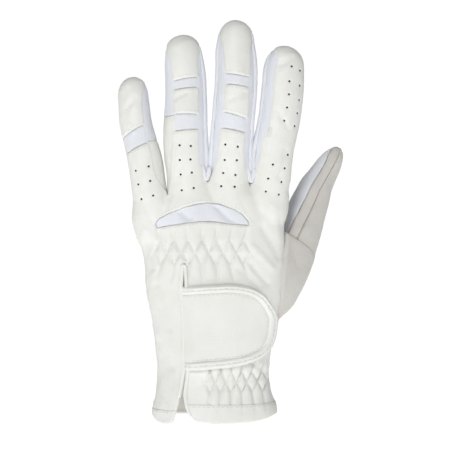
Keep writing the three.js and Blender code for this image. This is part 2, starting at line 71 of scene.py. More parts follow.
LITTLE = digit(85.4, 19.8, 17.6, 0.84, (-0.36, -0.05, 0.787), [
    (0, 0, 0, 1), (0.117, -0.018, -0.012, 1), (0.279, -0.041, -0.015, 1), (0.42, -0.063, -0.008, 0.99),
    (0.575, -0.101, 0.012, 0.945), (0.73, -0.136, 0.04, 0.92), (0.8, -0.143, 0.055, 0.9),
    (1, -0.159, 0.1, 0.84)])
RING = digit(93.2, 24.2, 20.0, 0.85, (-0.158, -0.075, 0.902), [
    (0, 0, 0, 1), (0.15, -0.002, -0.012, 0.97), (0.292, -0.012, -0.014, 1), (0.433, -0.016, -0.005, 1),
    (0.575, -0.014, 0.012, 0.96), (0.717, -0.016, 0.036, 0.93), (0.82, -0.024, 0.056, 0.9),
    (1, -0.026, 0.1, 0.84)])
MIDDLE = digit(99.5, 23.0, 20.4, 0.85, (0.112, -0.075, 0.917), [
    (0, 0, 0, 1), (0.187, 0.006, -0.012, 0.985), (0.32, 0.011, -0.014, 0.98), (0.452, 0.022, -0.006, 0.98),
    (0.585, 0.033, 0.012, 0.98), (0.684, 0.038, 0.03, 0.97), (0.82, 0.035, 0.058, 0.93),
    (1, 0.036, 0.1, 0.85)])
INDEX = digit(89.1, 23.0, 20.0, 0.84, (0.353, -0.05, 0.887), [
    (0, 0, 0, 0.93), (0.136, 0.017, -0.01, 0.93), (0.241, 0.029, -0.014, 0.95), (0.358, 0.044, -0.01, 0.965),
    (0.457, 0.064, 0, 0.99), (0.575, 0.085, 0.018, 1), (0.679, 0.097, 0.035, 1), (0.82, 0.107, 0.06, 0.97),
    (1, 0.12, 0.1, 0.9)])
THUMB = digit(90.5, 26.0, 24.0, 0.84, (0.35, 0.1, 0.466), [
    (0, -0.02, 0, 0.5), (0.06, 0.03, 0.025, 0.8), (0.14, 0.075, 0.05, 0.96), (0.265, 0.136, 0.09, 1),
    (0.407, 0.188, 0.135, 0.98), (0.53, 0.23, 0.18, 0.92), (0.654, 0.278, 0.213, 0.83),
    (0.747, 0.318, 0.242, 0.74), (0.827, 0.365, 0.264, 0.63), (1, 0.468, 0.281, 0.46)])
FINGERS = (LITTLE, RING, MIDDLE, INDEX)

# Columns: rise as a share of the hand's height, left and right edge as shares of the knuckle width, back
# and palm side as shares of the hand's depth
HAND_ROWS = np.array([
    (0, 0.386, 0.418, 0.575, 0.575), (0.06, 0.38, 0.41, 0.555, 0.555), (0.115, 0.365, 0.384, 0.53, 0.53),
    (0.21, 0.352, 0.367, 0.495, 0.5), (0.29, 0.365, 0.38, 0.48, 0.5), (0.44, 0.391, 0.422, 0.46, 0.5),
    (0.51, 0.416, 0.453, 0.45, 0.485), (0.66, 0.442, 0.465, 0.425, 0.45), (0.76, 0.473, 0.464, 0.4, 0.42),
    (0.86, 0.495, 0.463, 0.37, 0.37), (0.9, 0.44, 0.465, 0.345, 0.34), (0.935, 0.32, 0.45, 0.315, 0.29),
    (0.975, 0.2, 0.3, 0.25, 0.2), (1, 0.09, 0.12, 0.15, 0.1)])
print("hand:", HAND_HEIGHT, "mm high,", KNUCKLE_WIDTH, "mm wide")


# %% Read a table and find a section
def read(rows, at):
    """The table's columns at a value of its first column: cubic pieces whose slopes are the rows' own
    differences, so the curve runs smoothly through every row."""
    x, y = rows[:, 0], rows[:, 1:]
    slope = np.gradient(y, x, axis=0)
    at = np.clip(at, x[0], x[-1])
    k = np.clip(np.searchsorted(x, at, side="right") - 1, 0, len(x) - 2)
    step = (x[k + 1] - x[k])[..., None]
    u = (at - x[k])[..., None] / step
    return (y[k] * (2 * u**3 - 3 * u**2 + 1) + step * slope[k] * (u**3 - 2 * u**2 + u)
            + y[k + 1] * (3 * u**2 - 2 * u**3) + step * slope[k + 1] * (u**3 - u**2))


def dot(a, b):
    """The inner product of directions or places, one for each point."""
    return np.sum(a * b, axis=-1)


def unit(a):
    """The same directions with a length of one."""
    return a / np.maximum(np.linalg.norm(a, axis=-1, keepdims=True), 1e-9)


def smooth(x):
    """0 below 0, 1 above 1, and an S-curve between."""
    x = np.clip(x, 0, 1)
    return x * x * (3 - 2 * x)


def spine(d, t):
    """The middle of a digit at a share t of its length."""
    side, back, _ = np.moveaxis(read(d["rows"], t), -1, 0)
    drift = np.stack([side, back, t + 0 * side], axis=-1)
    return d["root"] + drift * d["length"]


def digit_section(d, t):
    """Middle, forward, across and backward directions, half width and half depth of a digit at t."""
    inner = np.clip(t, 0.01, 0.99)
    forward = unit(spine(d, inner + 0.01) - spine(d, inner - 0.01))
    across = unit(np.cross((0.0, 1.0, 0.0), forward))
    girth = read(d["rows"], t)[..., 2]
    return (spine(d, t), forward, across, np.cross(forward, across),
            girth * d["width"] / 2, girth * d["depth"] / 2)


def digit_point(d, t, angle):
    """A point of a digit's skin and its outward direction. The angle runs round the section from the
    back of the hand towards the thumb side. Past the share d['dome'] the section shrinks to the tip
    with the square root of one less a power of the share past the dome's start."""
    middle, forward, across, back, half_width, half_depth = digit_section(d, t)
    past = np.clip((t - d["dome"]) / (1 - d["dome"]), 0, 1)
    shrink = np.sqrt(1 - past**BLUNTNESS)
    sine, cosine = np.sin(angle), np.cos(angle)
    place = (middle + across * (half_width * sine * shrink)[..., None]
             - back * (half_depth * cosine * shrink)[..., None])
    outward = (across * (sine / half_width * shrink)[..., None]
               - back * (cosine / half_depth * shrink)[..., None]
               + forward * (past ** (BLUNTNESS - 1) / (d["length"] * (1 - d["dome"])))[..., None])
    return place, unit(outward)


def hand_section(rise):
    """The middle, half width, back depth and palm depth of the hand at a rise."""
    left, right, back, palm = np.moveaxis(read(HAND_ROWS, rise), -1, 0)
    return ((right - left) / 2 * KNUCKLE_WIDTH, (right + left) / 2 * KNUCKLE_WIDTH,
            back * HAND_DEPTH, palm * HAND_DEPTH)


WIDEST_RISE = 0.86  # above it the hand narrows into the forks, and points start from its widest section


def hand_point(z, angle):
    """A point of the hand's skin and its outward direction, with the angle as on a digit. The section
    is a superellipse: powers of the sine and cosine of the angle."""
    middle, half_width, back, palm = hand_section(np.minimum(z / HAND_HEIGHT, WIDEST_RISE))
    sine, cosine = np.sin(angle), np.cos(angle)
    depth = np.where(cosine > 0, back, palm)
    x = np.sign(sine) * np.abs(sine) ** (2 / SQUARENESS)
    y = -np.sign(cosine) * np.abs(cosine) ** (2 / SQUARENESS)
    place = np.stack([middle + half_width * x, depth * y, z + 0 * x], axis=-1)
    power = SQUARENESS - 1
    outward = np.stack([np.sign(x) * np.abs(x) ** power / half_width,
                        np.sign(y) * np.abs(y) ** power / depth, 0 * x], axis=-1)
    return place, unit(outward)


print("middle fingertip at", spine(MIDDLE, np.array(1.0)).round(1), "mm")


# %% [markdown]
# ## One skin for hand and fingers
# Where a finger leaves the hand the skin has a soft fork. A field does this well: it is negative inside
# the hand, zero on its skin and positive outside, and the fields of the hand and of the digits are joined
# by a smooth minimum. Panels are grids of points that slide along a direction until the field is zero.

# %% The field and its skin
FORK_SOFTNESS = 3.5
THENAR_SOFTNESS = 9.0
THENAR_DOME, THENAR_END = 0.28, 0.5  # the thumb's share of the field ends in a dome between these
HAND_TOP_HEIGHT = 4.0  # over the hand's last section the field closes about this high
LEAST_RATE = 0.35
LONGEST_STEP = 2.5


def digit_field(d, p, dome=None, end=1.0):
    """About the distance to a digit's skin: the oval radius of the section, and past the dome's start
    the length too, less one, times the digit's mean half size."""
    dome = d["dome"] if dome is None else dome
    t = (p[..., 2] - d["root"][2]) / d["length"]
    for _ in range(2):
        t = np.clip(t, 0, end)
        middle, forward, across, back, half_width, half_depth = digit_section(d, t)
        t = t + dot(p - middle, forward) * forward[..., 2] / d["length"]
    away = p - middle
    oval = (dot(away, across) / half_width) ** 2 + (dot(away, back) / half_depth) ** 2
    past = np.clip((t - dome) / (end - dome), 0, None)
    below = np.clip(-t * d["length"] / half_width, 0, None)
    return (np.sqrt(oval + past**BLUNTNESS + below**2) - 1) * (half_width + half_depth) / 2


def hand_field(p):
    """About the distance to the hand's skin: the superellipse radius of the section, and above the hand
    the height over it too, less one, times the mean half depth."""
    rise = p[..., 2] / HAND_HEIGHT
    middle, half_width, back, palm = hand_section(rise)
    depth = np.where(p[..., 1] < 0, back, palm)
    radius = ((np.abs(p[..., 0] - middle) / half_width) ** SQUARENESS
              + (np.abs(p[..., 1]) / depth) ** SQUARENESS) ** (1 / SQUARENESS)
    above = np.clip((rise - 1) * HAND_HEIGHT / HAND_TOP_HEIGHT, 0, None)
    return (np.sqrt(radius**2 + above**2) - 1) * (back + palm) / 2


def blend_min(a, b, softness):
    """The smaller of two fields, rounded where they are within the softness of each other."""
    near = np.clip(softness - np.abs(a - b), 0, None) / softness
    return np.minimum(a, b) - near**2 * softness / 4


def field(p, thenar=True):
    """The hand and its fingers as one field, with the thumb's base or without it."""
    value = hand_field(p)
    for d in FINGERS:
        value = blend_min(value, digit_field(d, p), FORK_SOFTNESS)
    if thenar:
        value = blend_min(value, digit_field(THUMB, p, THENAR_DOME, THENAR_END), THENAR_SOFTNESS)
    return value


def settle(place, outward, thenar=True, steps=6):
    """Slides points along their outward direction until the field is zero, by Newton's steps: the value
    over its rate of change, with the rate kept above a least one and the step below a longest one."""
    probe = 0.1
    for _ in range(steps):
        value = field(place, thenar)
        rate = (field(place + outward * probe, thenar) - value) / probe
        step = np.clip(value / np.maximum(rate, LEAST_RATE), -LONGEST_STEP, LONGEST_STEP)
        place = place - outward * step[..., None]
    return place


def skin_normal(place, thenar=True):
    """The field's slope, which points straight out of the skin."""
    probe = 0.15
    value = field(place, thenar)
    slopes = [field(place + probe * np.eye(3)[k], thenar) - value for k in range(3)]
    return unit(np.stack(slopes, axis=-1))


print("field at the wrist's middle:", round(float(field(np.array([0.0, 0.0, 40.0]))), 1), "mm")


# %% [markdown]
# ## Vent holes in the backs of the fingers
# Small holes are punched through the leather in rows. Each is a place on a digit: along it, and across
# as a share of its half width. The leather dips softly round every one of them.

# %% Places of the vent holes
PERFORATIONS = (
    (LITTLE, ((0.388, -0.6), (0.399, 0.17), (0.301, -0.57), (0.311, 0.12), (0.209, -0.52), (0.22, 0.17))),
    (RING, ((0.329, -0.23), (0.323, 0.29), (0.25, -0.26), (0.248, 0.24), (0.168, -0.27), (0.175, 0.26),
            (0.079, -0.24), (0.091, 0.32))),
    (MIDDLE, ((0.294, -0.29), (0.286, 0.32), (0.214, -0.31), (0.214, 0.3), (0.144, -0.35), (0.136, 0.26),
              (0.074, -0.42), (0.073, 0.23))),
    (INDEX, ((0.846, 0.34), (0.753, 0.26), (0.673, 0.27), (0.593, 0.25), (0.513, 0.22), (0.834, 0.78),
             (0.741, 0.79), (0.655, 0.8), (0.577, 0.79), (0.5, 0.77), (0.323, 0.74), (0.253, 0.02),
             (0.241, 0.66), (0.171, -0.14), (0.159, 0.58), (0.094, -0.18), (0.084, 0.52))))


def hole_places():
    """The holes' middles on the blended skin, reached from the digits' own skin."""
    found = []
    for d, rows in PERFORATIONS:
        along, across = np.array(rows).T
        place, outward = digit_point(d, along, np.arcsin(across))
        found.append(settle(place, unit(outward + (0, -1.0, 0)), False))
    return np.concatenate(found)


HOLES = hole_places()
print("vent holes:", len(HOLES))


# %% [markdown]
# ## From a grid to a panel
# Every panel is a thin closed shell: a grid of skin points, lifted by a small relief and given the
# thickness of the leather. Along its border a panel rolls inwards, as leather does where it is turned and
# sewn, so a seam shows as a soft groove. The roll follows the distance to the nearest border point.

# %% Faces of grids, and grids welded together
def grid_faces(rows, columns, keep=None):
    """The four corner numbers of each cell of a grid, with only the cells marked in keep."""
    number = np.arange(rows * columns).reshape(rows, columns)
    cells = np.stack([number[:-1, :-1], number[:-1, 1:], number[1:, 1:], number[1:, :-1]], axis=-1)
    return cells.reshape(-1, 4) if keep is None else cells[keep]


def outward_faces(place, outward, faces):
    """The same faces, all turned round if most of them look inwards."""
    a, b, c, d = (place[faces[:, k]] for k in range(4))
    facing = dot(np.cross(c - a, d - b), outward[faces[:, 0]])
    return faces if facing.sum() > 0 else faces[:, ::-1]


def weld(sheets):
    """Joins grids into one mesh: points at the same place, to a thousandth of a millimetre, become one."""
    places, outwards, faces, start = [], [], [], 0
    for place, outward, keep in sheets:
        flat, out = place.reshape(-1, 3), outward.reshape(-1, 3)
        cells = outward_faces(flat, out, grid_faces(*place.shape[:2], keep))
        places.append(flat)
        outwards.append(out)
        faces.append(cells + start)
        start += len(flat)
    place, outward, faces = np.concatenate(places), np.concatenate(outwards), np.concatenate(faces)
    _, first, same = np.unique(np.round(place * 1000).astype(np.int64), axis=0, return_index=True,
                               return_inverse=True)
    faces = first[same.reshape(-1)[faces]]
    used, faces = np.unique(faces, return_inverse=True)
    return place[used], outward[used], faces.reshape(-1, 4)


# %% Edges that roll inwards
LEATHER = 1.1
ROLL_DEPTH, ROLL_WIDTH = 0.75, 1.5


def rim_points(faces):
    """Numbers of the points on a mesh's border: the ends of edges that only one face has."""
    edges = np.sort(np.concatenate([faces[:, [k, (k + 1) % 4]] for k in range(4)]), axis=1)
    edges, count = np.unique(edges, axis=0, return_counts=True)
    return np.unique(edges[count == 1])


def distance_to(points, targets, chunk=6000):
    """From each point to the nearest target, in chunks of points."""
    size = dot(targets, targets)
    found = []
    for k in range(0, len(points), chunk):
        part = points[k:k + chunk]
        square = dot(part, part)[:, None] + size - 2 * part @ targets.T
        found.append(np.sqrt(np.maximum(square.min(axis=1), 0)))
    return np.concatenate(found)


def rolled(distance, depth=ROLL_DEPTH, width=ROLL_WIDTH):
    """How far an edge dips: a quarter circle from its full depth at the edge to nothing at the width."""
    u = 1 - np.clip(distance / width, 0, 1)
    return depth * (1 - np.sqrt(1 - u**2))


# %% Build a panel
def new_object(name, points, faces, material):
    """An object at the origin from points in metres and lists of corner numbers."""
    mesh = bpy.data.meshes.new(name)
    mesh.from_pydata(points.tolist(), [], faces)
    mesh.materials.append(material)
    item = bpy.data.objects.new(name, mesh)
    bpy.context.collection.objects.link(item)
    return item


def glove_piece(name, place, faces, material, nodes=(), thickness=0.0):
    """A smooth object from points in millimetres, on the glove's body, standing for the given nodes. With
    a thickness it is a shell that grows inwards from the points."""
    item = new_object(name, place * MM, faces, material)
    item.data.polygons.foreach_set("use_smooth", np.ones(len(item.data.polygons), bool))
    if thickness:
        shell = item.modifiers.new("thickness", "SOLIDIFY")
        shell.thickness = thickness * MM
        shell.offset = -1
    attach(item, "root")
    if nodes:
        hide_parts(*nodes)
    return item


def panel(name, sheets, material, slot, nodes=(), relief=None, lift=0.0, roll=(ROLL_DEPTH, ROLL_WIDTH),
          thickness=LEATHER):
    """A panel from its grids. relief gives the height over the skin from the points and their distances
    to the border."""
    place, outward, faces = weld(sheets)
    distance = distance_to(place, place[rim_points(faces)])
    height = lift - rolled(distance, *roll) + (0 if relief is None else relief(place, distance))
    place = place + outward * np.asarray(height + 0 * distance)[:, None]
    print(f"{name}: {len(faces)} faces")
    return glove_piece(name, place, faces.tolist(), material, nodes, thickness)


# %% [markdown]
# ## The small unevenness of a worn glove
# Leather on a hand is never quite smooth. Sums of sine waves in scattered directions give soft swells a
# few centimetres long, finer creases, and the puckers that a tight thread pulls along a seam. The same
# sums run through neighbouring panels, so that they meet.

# %% Swells, creases and puckers
def ripple(place, wavelength, seed, count=9):
    """A smooth random height between about -1 and 1: the mean of sine waves of nearly one wavelength,
    each in its own direction."""
    rng = np.random.default_rng(seed)
    direction = unit(rng.normal(size=(count, 3))) / (wavelength * rng.uniform(0.75, 1.35, (count, 1)))
    phase = rng.uniform(0, 2 * math.pi, count)
    return np.sin(place @ direction.T * 2 * math.pi + phase).mean(axis=-1) * 2


CREASE_WIDTH = 0.16


def creased(place, wavelength, seed):
    """Thin valleys between puffed patches, from how near a ripple is to its zero line."""
    return -np.exp(-(ripple(place, wavelength, seed) / CREASE_WIDTH) ** 2)


print("ripple check:", ripple(np.zeros((1, 3)), 20.0, 1).round(2))

# %% Larger folds of the back
# Columns: x and z of both ends in the front view, half width and height, all in millimetres
FOLDS = np.array([
    (-31, 74, -24, 52, 2.6, -0.9), (-34, 60, -29, 38, 2.2, 0.5), (-29, 44, -22, 30, 2.4, -0.6),
    (-37, 96, -33, 84, 2.0, -0.8), (-36, 104, -26, 97, 2.2, 0.5), (18, 90, 30, 76, 2.0, -1.0),
    (22, 96, 33, 84, 2.0, 0.7), (14, 84, 26, 74, 1.8, -0.7), (28, 106, 37, 90, 2.4, -0.7),
    (33, 118, 37, 100, 2.4, 0.5), (-24, 122, -30, 108, 2.4, -0.6), (-2, 128, 3, 117, 2.2, -0.5),
    (22, 127, 27, 114, 2.4, -0.6), (-38, 120, -33, 110, 2.0, -0.5), (26, 70, 33, 62, 1.8, -0.7),
    (-22, 176, -14, 180, 1.5, -0.35), (-21, 166, -12, 163, 1.5, -0.35), (9, 168, 17, 165, 1.5, -0.35),
    (10, 176, 18, 180, 1.5, -0.35), (38, 196, 44, 200, 1.6, -0.45), (36, 170, 42, 160, 1.6, -0.4),
    (41, 148, 37, 134, 1.8, -0.5), (-45, 160, -40, 153, 1.6, -0.4), (-47, 172, -42, 178, 1.6, -0.35),
    (-16, 141, -19, 131, 1.8, -0.35), (8, 142, 11, 131, 1.8, -0.35), (-29, 136, -33, 128, 1.8, -0.35),
    (20, 34, 30, 27, 1.6, -0.6), (-12, 36, 4, 33, 1.6, -0.5), (29, 47, 35, 40, 1.6, -0.6)])
PALM_START = 2.0  # no fold lies behind this depth


def fold_relief(place):
    """Each fold is a bell across its line: its height falls off with the square of the distance to the
    line between its ends, in the front view. Folds lie on the back only."""
    total = np.zeros(len(place))
    for x0, z0, x1, z1, width, height in FOLDS:
        away = place[:, [0, 2]] - (x0, z0)
        run = np.array((x1 - x0, z1 - z0), float)
        part = np.clip(away @ run / (run @ run), 0, 1)
        gap = np.linalg.norm(away - part[:, None] * run, axis=-1)
        total += height * np.exp(-(gap / width) ** 2)
    return total * (place[:, 1] < PALM_START)


print("folds:", len(FOLDS))

# %% Relief of leather and of stretch fabric
HOLE_DIP, HOLE_REACH = 0.4, 0.85
STRETCH_RECESS = 0.4


def plain_relief(place, distance):
    """Leather: long swells, short swells, creases, puckers that fade from the border, a bell-shaped dip
    round each vent hole, and the folds, which flatten towards the border."""
    pucker = 0.16 * ripple(place, 2.6, 3) * np.exp(-distance / 1.8)
    dip = HOLE_DIP * np.exp(-(distance_to(place, HOLES) / HOLE_REACH) ** 2)
    return (0.26 * ripple(place, 21.0, 1) + 0.1 * ripple(place, 7.5, 2) + pucker - dip
            + 0.08 * creased(place, 16.0, 5) + fold_relief(place) * smooth(distance / 3 + 0.3))


def stretch_relief(place, distance):
    """Stretch fabric: it lies lower than the leather, with soft swells and puckers along its border."""
    pucker = 0.12 * ripple(place, 2.2, 4) * np.exp(-distance / 2.0)
    return -STRETCH_RECESS + 0.1 * ripple(place, 9.0, 6) + pucker


print("hole dips:", HOLE_DIP, "mm, stretch fabric lower by", STRETCH_RECESS, "mm")


# %% [markdown]
# ## Materials
# White goatskin leather has a fine pebbled grain and a slight sheen, and greys a little where it is
# handled. The palm leather is its own off-white, drawn darker than the back as painted shade for the palm
# side and the thumb, which turn away from the lamp. The stretch fabric is matt with a fine rib. All of it
# is drawn by noise and waves on the object's own coordinates, in metres, so nothing slides when the view
# changes.

# %% Build a material
def node(tree, kind, at, inputs=None, **settings):
    """A shader node with its settings and its fixed input values."""
    made = tree.nodes.new(kind)
    made.location = at
    for key, value in settings.items():
        setattr(made, key, value)
    for key, value in (inputs or {}).items():
        made.inputs[key].default_value = value
    return made


def patchy_colour(tree, where, colour, worn_colour):
    """A base colour that drifts to a worn one in soft patches of noise."""
    patches = node(tree, "ShaderNodeTexNoise", (-600, 300), {"Scale": 45.0, "Detail": 4.0, "Roughness": 0.6})
    tree.links.new(where, patches.inputs["Vector"])
    ramp = node(tree, "ShaderNodeValToRGB", (-300, 300))
    low, high = ramp.color_ramp.elements
    low.position, high.position = 0.35, 0.75
    low.color, high.color = (*colour, 1), (*worn_colour, 1)
    tree.links.new(patches.outputs["Fac"], ramp.inputs["Fac"])
    return ramp.outputs["Color"]


def grain_height(tree, where, grain_size):
    """The height of the grain: the distance to the nearest cell's middle, and a share of finer noise."""
    cells = node(tree, "ShaderNodeTexVoronoi", (-600, -50), {"Scale": 1.0 / grain_size},
                 feature="SMOOTH_F1")
    tree.links.new(where, cells.inputs["Vector"])
    fine = node(tree, "ShaderNodeTexNoise", (-600, -350), {"Scale": 2.2 / grain_size, "Detail": 3.0})
    tree.links.new(where, fine.inputs["Vector"])
    height = node(tree, "ShaderNodeMath", (-300, -150), {1: 0.6}, operation="MULTIPLY_ADD")
    tree.links.new(fine.outputs["Fac"], height.inputs[0])
    tree.links.new(cells.outputs["Distance"], height.inputs[2])
    return height.outputs["Value"]


def bumped(tree, height, strength, at, normal=None):
    """The normal bent by a height, on top of another bump where one is given."""
    bump = node(tree, "ShaderNodeBump", at, {"Strength": strength, "Distance": BUMP_HEIGHT})
    tree.links.new(height, bump.inputs["Height"])
    if normal:
        tree.links.new(normal, bump.inputs["Normal"])
    return bump.outputs["Normal"]


BUMP_HEIGHT = 0.0002


def surface(name, colour, worn_colour, roughness, grain, grain_size, sheen=0.0, rib=0.0, rib_size=0.0):
    """Leather, fabric or thread: a patchy colour, a roughness, and a bump from the grain and, for a
    fabric, from a rib of waves."""
    material = bpy.data.materials.new(name)
    material.use_nodes = True
    tree = material.node_tree
    tree.nodes.clear()
    out = node(tree, "ShaderNodeOutputMaterial", (900, 0))
    shader = node(tree, "ShaderNodeBsdfPrincipled", (600, 0),
                  {"Roughness": roughness, "Sheen Weight": sheen, "Sheen Roughness": 0.5,
                   "Specular IOR Level": 0.35})
    tree.links.new(shader.outputs["BSDF"], out.inputs["Surface"])
    where = node(tree, "ShaderNodeTexCoord", (-900, 0)).outputs["Object"]
    tree.links.new(patchy_colour(tree, where, colour, worn_colour), shader.inputs["Base Color"])
    normal = bumped(tree, grain_height(tree, where, grain_size), grain, (300, -200))
    if rib:
        waves = node(tree, "ShaderNodeTexWave", (-300, -450),
                     {"Scale": 0.1 / rib_size, "Distortion": 0.6, "Detail": 1.0}, bands_direction="X")
        tree.links.new(where, waves.inputs["Vector"])
        normal = bumped(tree, waves.outputs["Fac"], rib, (450, -350), normal)
    tree.links.new(normal, shader.inputs["Normal"])
    return material


# %% The glove's materials
BACK = surface("back_leather", (0.80, 0.805, 0.77), (0.75, 0.75, 0.71), 0.5, 0.35, 0.0011)
# Palm leather: its own off-white, drawn darker than the back leather as painted shade for the palm side and
# the thumb, which turn away from the lamp
PALM_PAINTED_SHADE = surface("palm_leather", (0.64, 0.62, 0.585), (0.57, 0.55, 0.515), 0.6, 0.4, 0.0009, sheen=0.1)
STRETCH = surface("stretch_fabric", (0.75, 0.77, 0.815), (0.71, 0.73, 0.77), 0.85, 0.2, 0.0006, sheen=0.3,
                  rib=0.15, rib_size=0.0005)
BINDING = surface("binding", (0.82, 0.825, 0.79), (0.77, 0.77, 0.73), 0.45, 0.25, 0.0012)
PAD = surface("hook_and_loop", (0.78, 0.78, 0.75), (0.7, 0.7, 0.67), 0.95, 0.9, 0.0005)
THREAD = surface("thread", (0.68, 0.68, 0.65), (0.62, 0.62, 0.59), 0.7, 0.3, 0.0003)
# Painted shade: the near-black drawn in the vent holes stands for the shade inside them
HOLE_PAINTED_SHADE = surface("painted_shade_of_a_hole", (0.04, 0.038, 0.033), (0.03, 0.03, 0.026), 0.9, 0.1, 0.0005)
print("materials:", len(bpy.data.materials))


# %% [markdown]
# ## Seams on the fingers
# A seam along a digit is a table of places: along it, and across it as a share of its half width. An
# angle round the digit follows from the arcsine of that share. A panel between four seams is then a grid
# in two directions, along and round the digit.

# %% Seams as angles round a digit
# Columns: along the digit, across it as a share of its half width
SEAMS = {
    "little_right": ((0.1, 0.8), (0.2, 0.66), (0.3, 0.52), (0.55, 0.53), (0.68, 0.58), (0.85, 0.66),
                     (0.95, 1.0)),
    "ring_left": ((0.06, -0.9), (0.21, -0.75), (0.33, -0.6), (0.5, -0.54), (0.65, -0.63), (0.8, -0.68),
                  (0.93, -1.0)),
    "ring_right": ((0.14, 0.78), (0.21, 0.68), (0.33, 0.68), (0.5, 0.7), (0.72, 0.74), (0.82, 0.8),
                   (0.93, 1.0)),
    "middle_left": ((0.11, -0.83), (0.23, -0.72), (0.4, -0.61), (0.68, -0.6), (0.8, -0.66), (0.93, -1.0)),
    "middle_right": ((0.09, 0.93), (0.176, 0.75), (0.286, 0.67), (0.36, 0.72), (0.65, 0.74), (0.8, 0.8),
                     (0.93, 1.0)),
    "index_left": ((0.14, -0.92), (0.22, -0.8), (0.33, -0.72), (0.385, -0.7), (0.42, -0.58), (0.556, -0.53),
                   (0.8, -0.53), (0.92, -0.55), (0.98, -1.0)),
    "gusset": ((0.3, -0.6), (0.58, -0.36), (0.75, -0.3), (0.9, -0.45), (1, -1.0)),
    "thumb_strip": ((0.3, -0.1), (0.58, 0.2), (0.75, 0.3), (0.9, 0.4), (1.0, 0.5)),
}
SEAMS = {name: np.array(rows) for name, rows in SEAMS.items()}
# Seams across the back of a finger. Columns: along at the middle, slant as a share of the length
CROSS = {"little": ((0.533, 0.018), (0.64, 0.025)),
         "ring": ((0.415, 0.011), (0.507, 0.002), (0.657, 0.013), (0.712, 0.016)),
         "middle": ((0.373, -0.011), (0.453, -0.019), (0.611, -0.008), (0.667, -0.011))}
HALF_TURN = math.pi
QUARTER = math.pi / 2
TIP = (1 - 2e-5, 0.0)  # a cross seam just short of the pole of the rounded tip
FINE = 0.55  # spacing of a grid's points, in millimetres
ROOT_END = -0.2  # no grid runs deeper into the hand than this share along a digit
ARC = 1.2  # the surface over a tip is longer than the quarter circle of the digit's half width


def seam(name):
    """The angle of a seam as a function of the share along its digit."""
    return lambda t: np.arcsin(np.clip(read(SEAMS[name], t)[..., 0], -1, 1))


def palm_side(angle):
    """The same seam's mirror image on the palm side: half a turn less the angle."""
    return lambda t: HALF_TURN - angle(t)


def constant(value):
    """The same value everywhere, as a function: an angle along a digit, or a line on the hand."""
    return lambda at: value + 0 * at


# Columns: the digit, the seams to the left and to the right of its back
FINGER_BACKS = {
    "little": (LITTLE, constant(-QUARTER), seam("little_right")),
    "ring": (RING, seam("ring_left"), seam("ring_right")),
    "middle": (MIDDLE, seam("middle_left"), seam("middle_right")),
    "index": (INDEX, seam("index_left"), constant(QUARTER)),
}
print("seams along the digits:", len(SEAMS))


# %% Grids between the seams of a digit
def along_digit(d, low, high, step):
    """Shares along a digit from low to high, evenly spaced on its skin: by length up to the dome, and
    over the dome by the angle whose sine is the share past its start."""
    dome = d["dome"]
    straight = max(2, int((min(high, dome) - low) * d["length"] / step) + 1)
    values = np.linspace(low, min(high, dome), straight)
    if high > dome:
        top = math.asin((high - dome) / (1 - dome))
        turn = np.linspace(0, top, max(2, int(top * d["width"] / 2 * ARC / step) + 1))[1:]
        values = np.concatenate([values, dome + (1 - dome) * np.sin(turn)])
    return values


def digit_grid(d, low, high, left, right, step=FINE, thenar=None):
    """A grid on a digit between two cross seams, each a share along and a slant, and two long seams. The
    share along follows from the sine of the angle, and the angle from the share, in turn. Where thenar
    is given the grid slides out to the blended skin, with the thumb's base or without it."""
    t = along_digit(d, low[0], high[0], step)
    share = np.linspace(0, 1, len(t))[:, None]
    half_round = d["width"] * 1.55  # about half a circle's length
    columns = max(6, int(half_round * abs(right(0.5) - left(0.5)) / HALF_TURN / step))
    across = np.linspace(0, 1, columns)[None, :]
    along = t[:, None] + 0 * across
    for _ in range(3):
        angle = left(along) * (1 - across) + right(along) * across
        along = t[:, None] + np.sin(angle) * (low[1] * (1 - share) + high[1] * share)
    place, outward = digit_point(d, np.clip(along, ROOT_END, TIP[0]), angle)
    if thenar is not None:
        place = settle(place, outward, thenar)
        outward = skin_normal(place, thenar)
    return place, outward, None


joint = digit_grid(RING, CROSS["ring"][1], CROSS["ring"][2], *FINGER_BACKS["ring"][1:])
print("ring joint grid:", joint[0].shape)


# %% [markdown]
# ## The back of the hand
# One piece of leather runs from the cuff up into a tongue on each finger, and on the index finger right
# up over the tip. It is one grid for the hand and one more for each tongue, which share the row of points
# that runs through the forks. The vent over the knuckles and the slit in the cuff are cells left out.

# %% Lines across and up the hand
# Columns of the lines across: share of the half width, rise as a share of the hand's height
ROOT_LINE = np.array([(-1.0, 0.875), (-0.58, 0.934), (-0.3, 0.975), (-0.02, 0.99), (0.25, 0.985),
                      (0.563, 0.974), (1.0, 0.95)])
FORKS = (-0.58, -0.02, 0.563)
BACK_EDGE = np.array([(-1, 0.028), (-0.9, 0.004), (-0.75, 0.0), (-0.66, 0.01), (-0.58, 0.03), (-0.5, 0.05),
                      (-0.44, 0.062), (-0.39, 0.044), (-0.29, 0.015), (0, 0.006), (0.55, 0.01), (0.8, 0.02),
                      (1, 0.034)])
PALM_EDGE = np.array([(-1, 0.028), (-0.6, 0.012), (0, 0.006), (0.5, 0.01), (1, 0.034)])
VENT_LOW = np.array([(-0.7, 0.797), (-0.563, 0.806), (-0.35, 0.815), (-0.125, 0.824), (0.055, 0.824),
                     (0.32, 0.813), (0.524, 0.809)])
VENT_HIGH = np.array([(-0.7, 0.812), (-0.66, 0.831), (-0.53, 0.858), (-0.351, 0.879), (-0.191, 0.894),
                      (-0.03, 0.901), (0.12, 0.895), (0.32, 0.874), (0.45, 0.85), (0.524, 0.822)])
VENT_RIGHT = 0.524
SLIT_TOP = 0.65
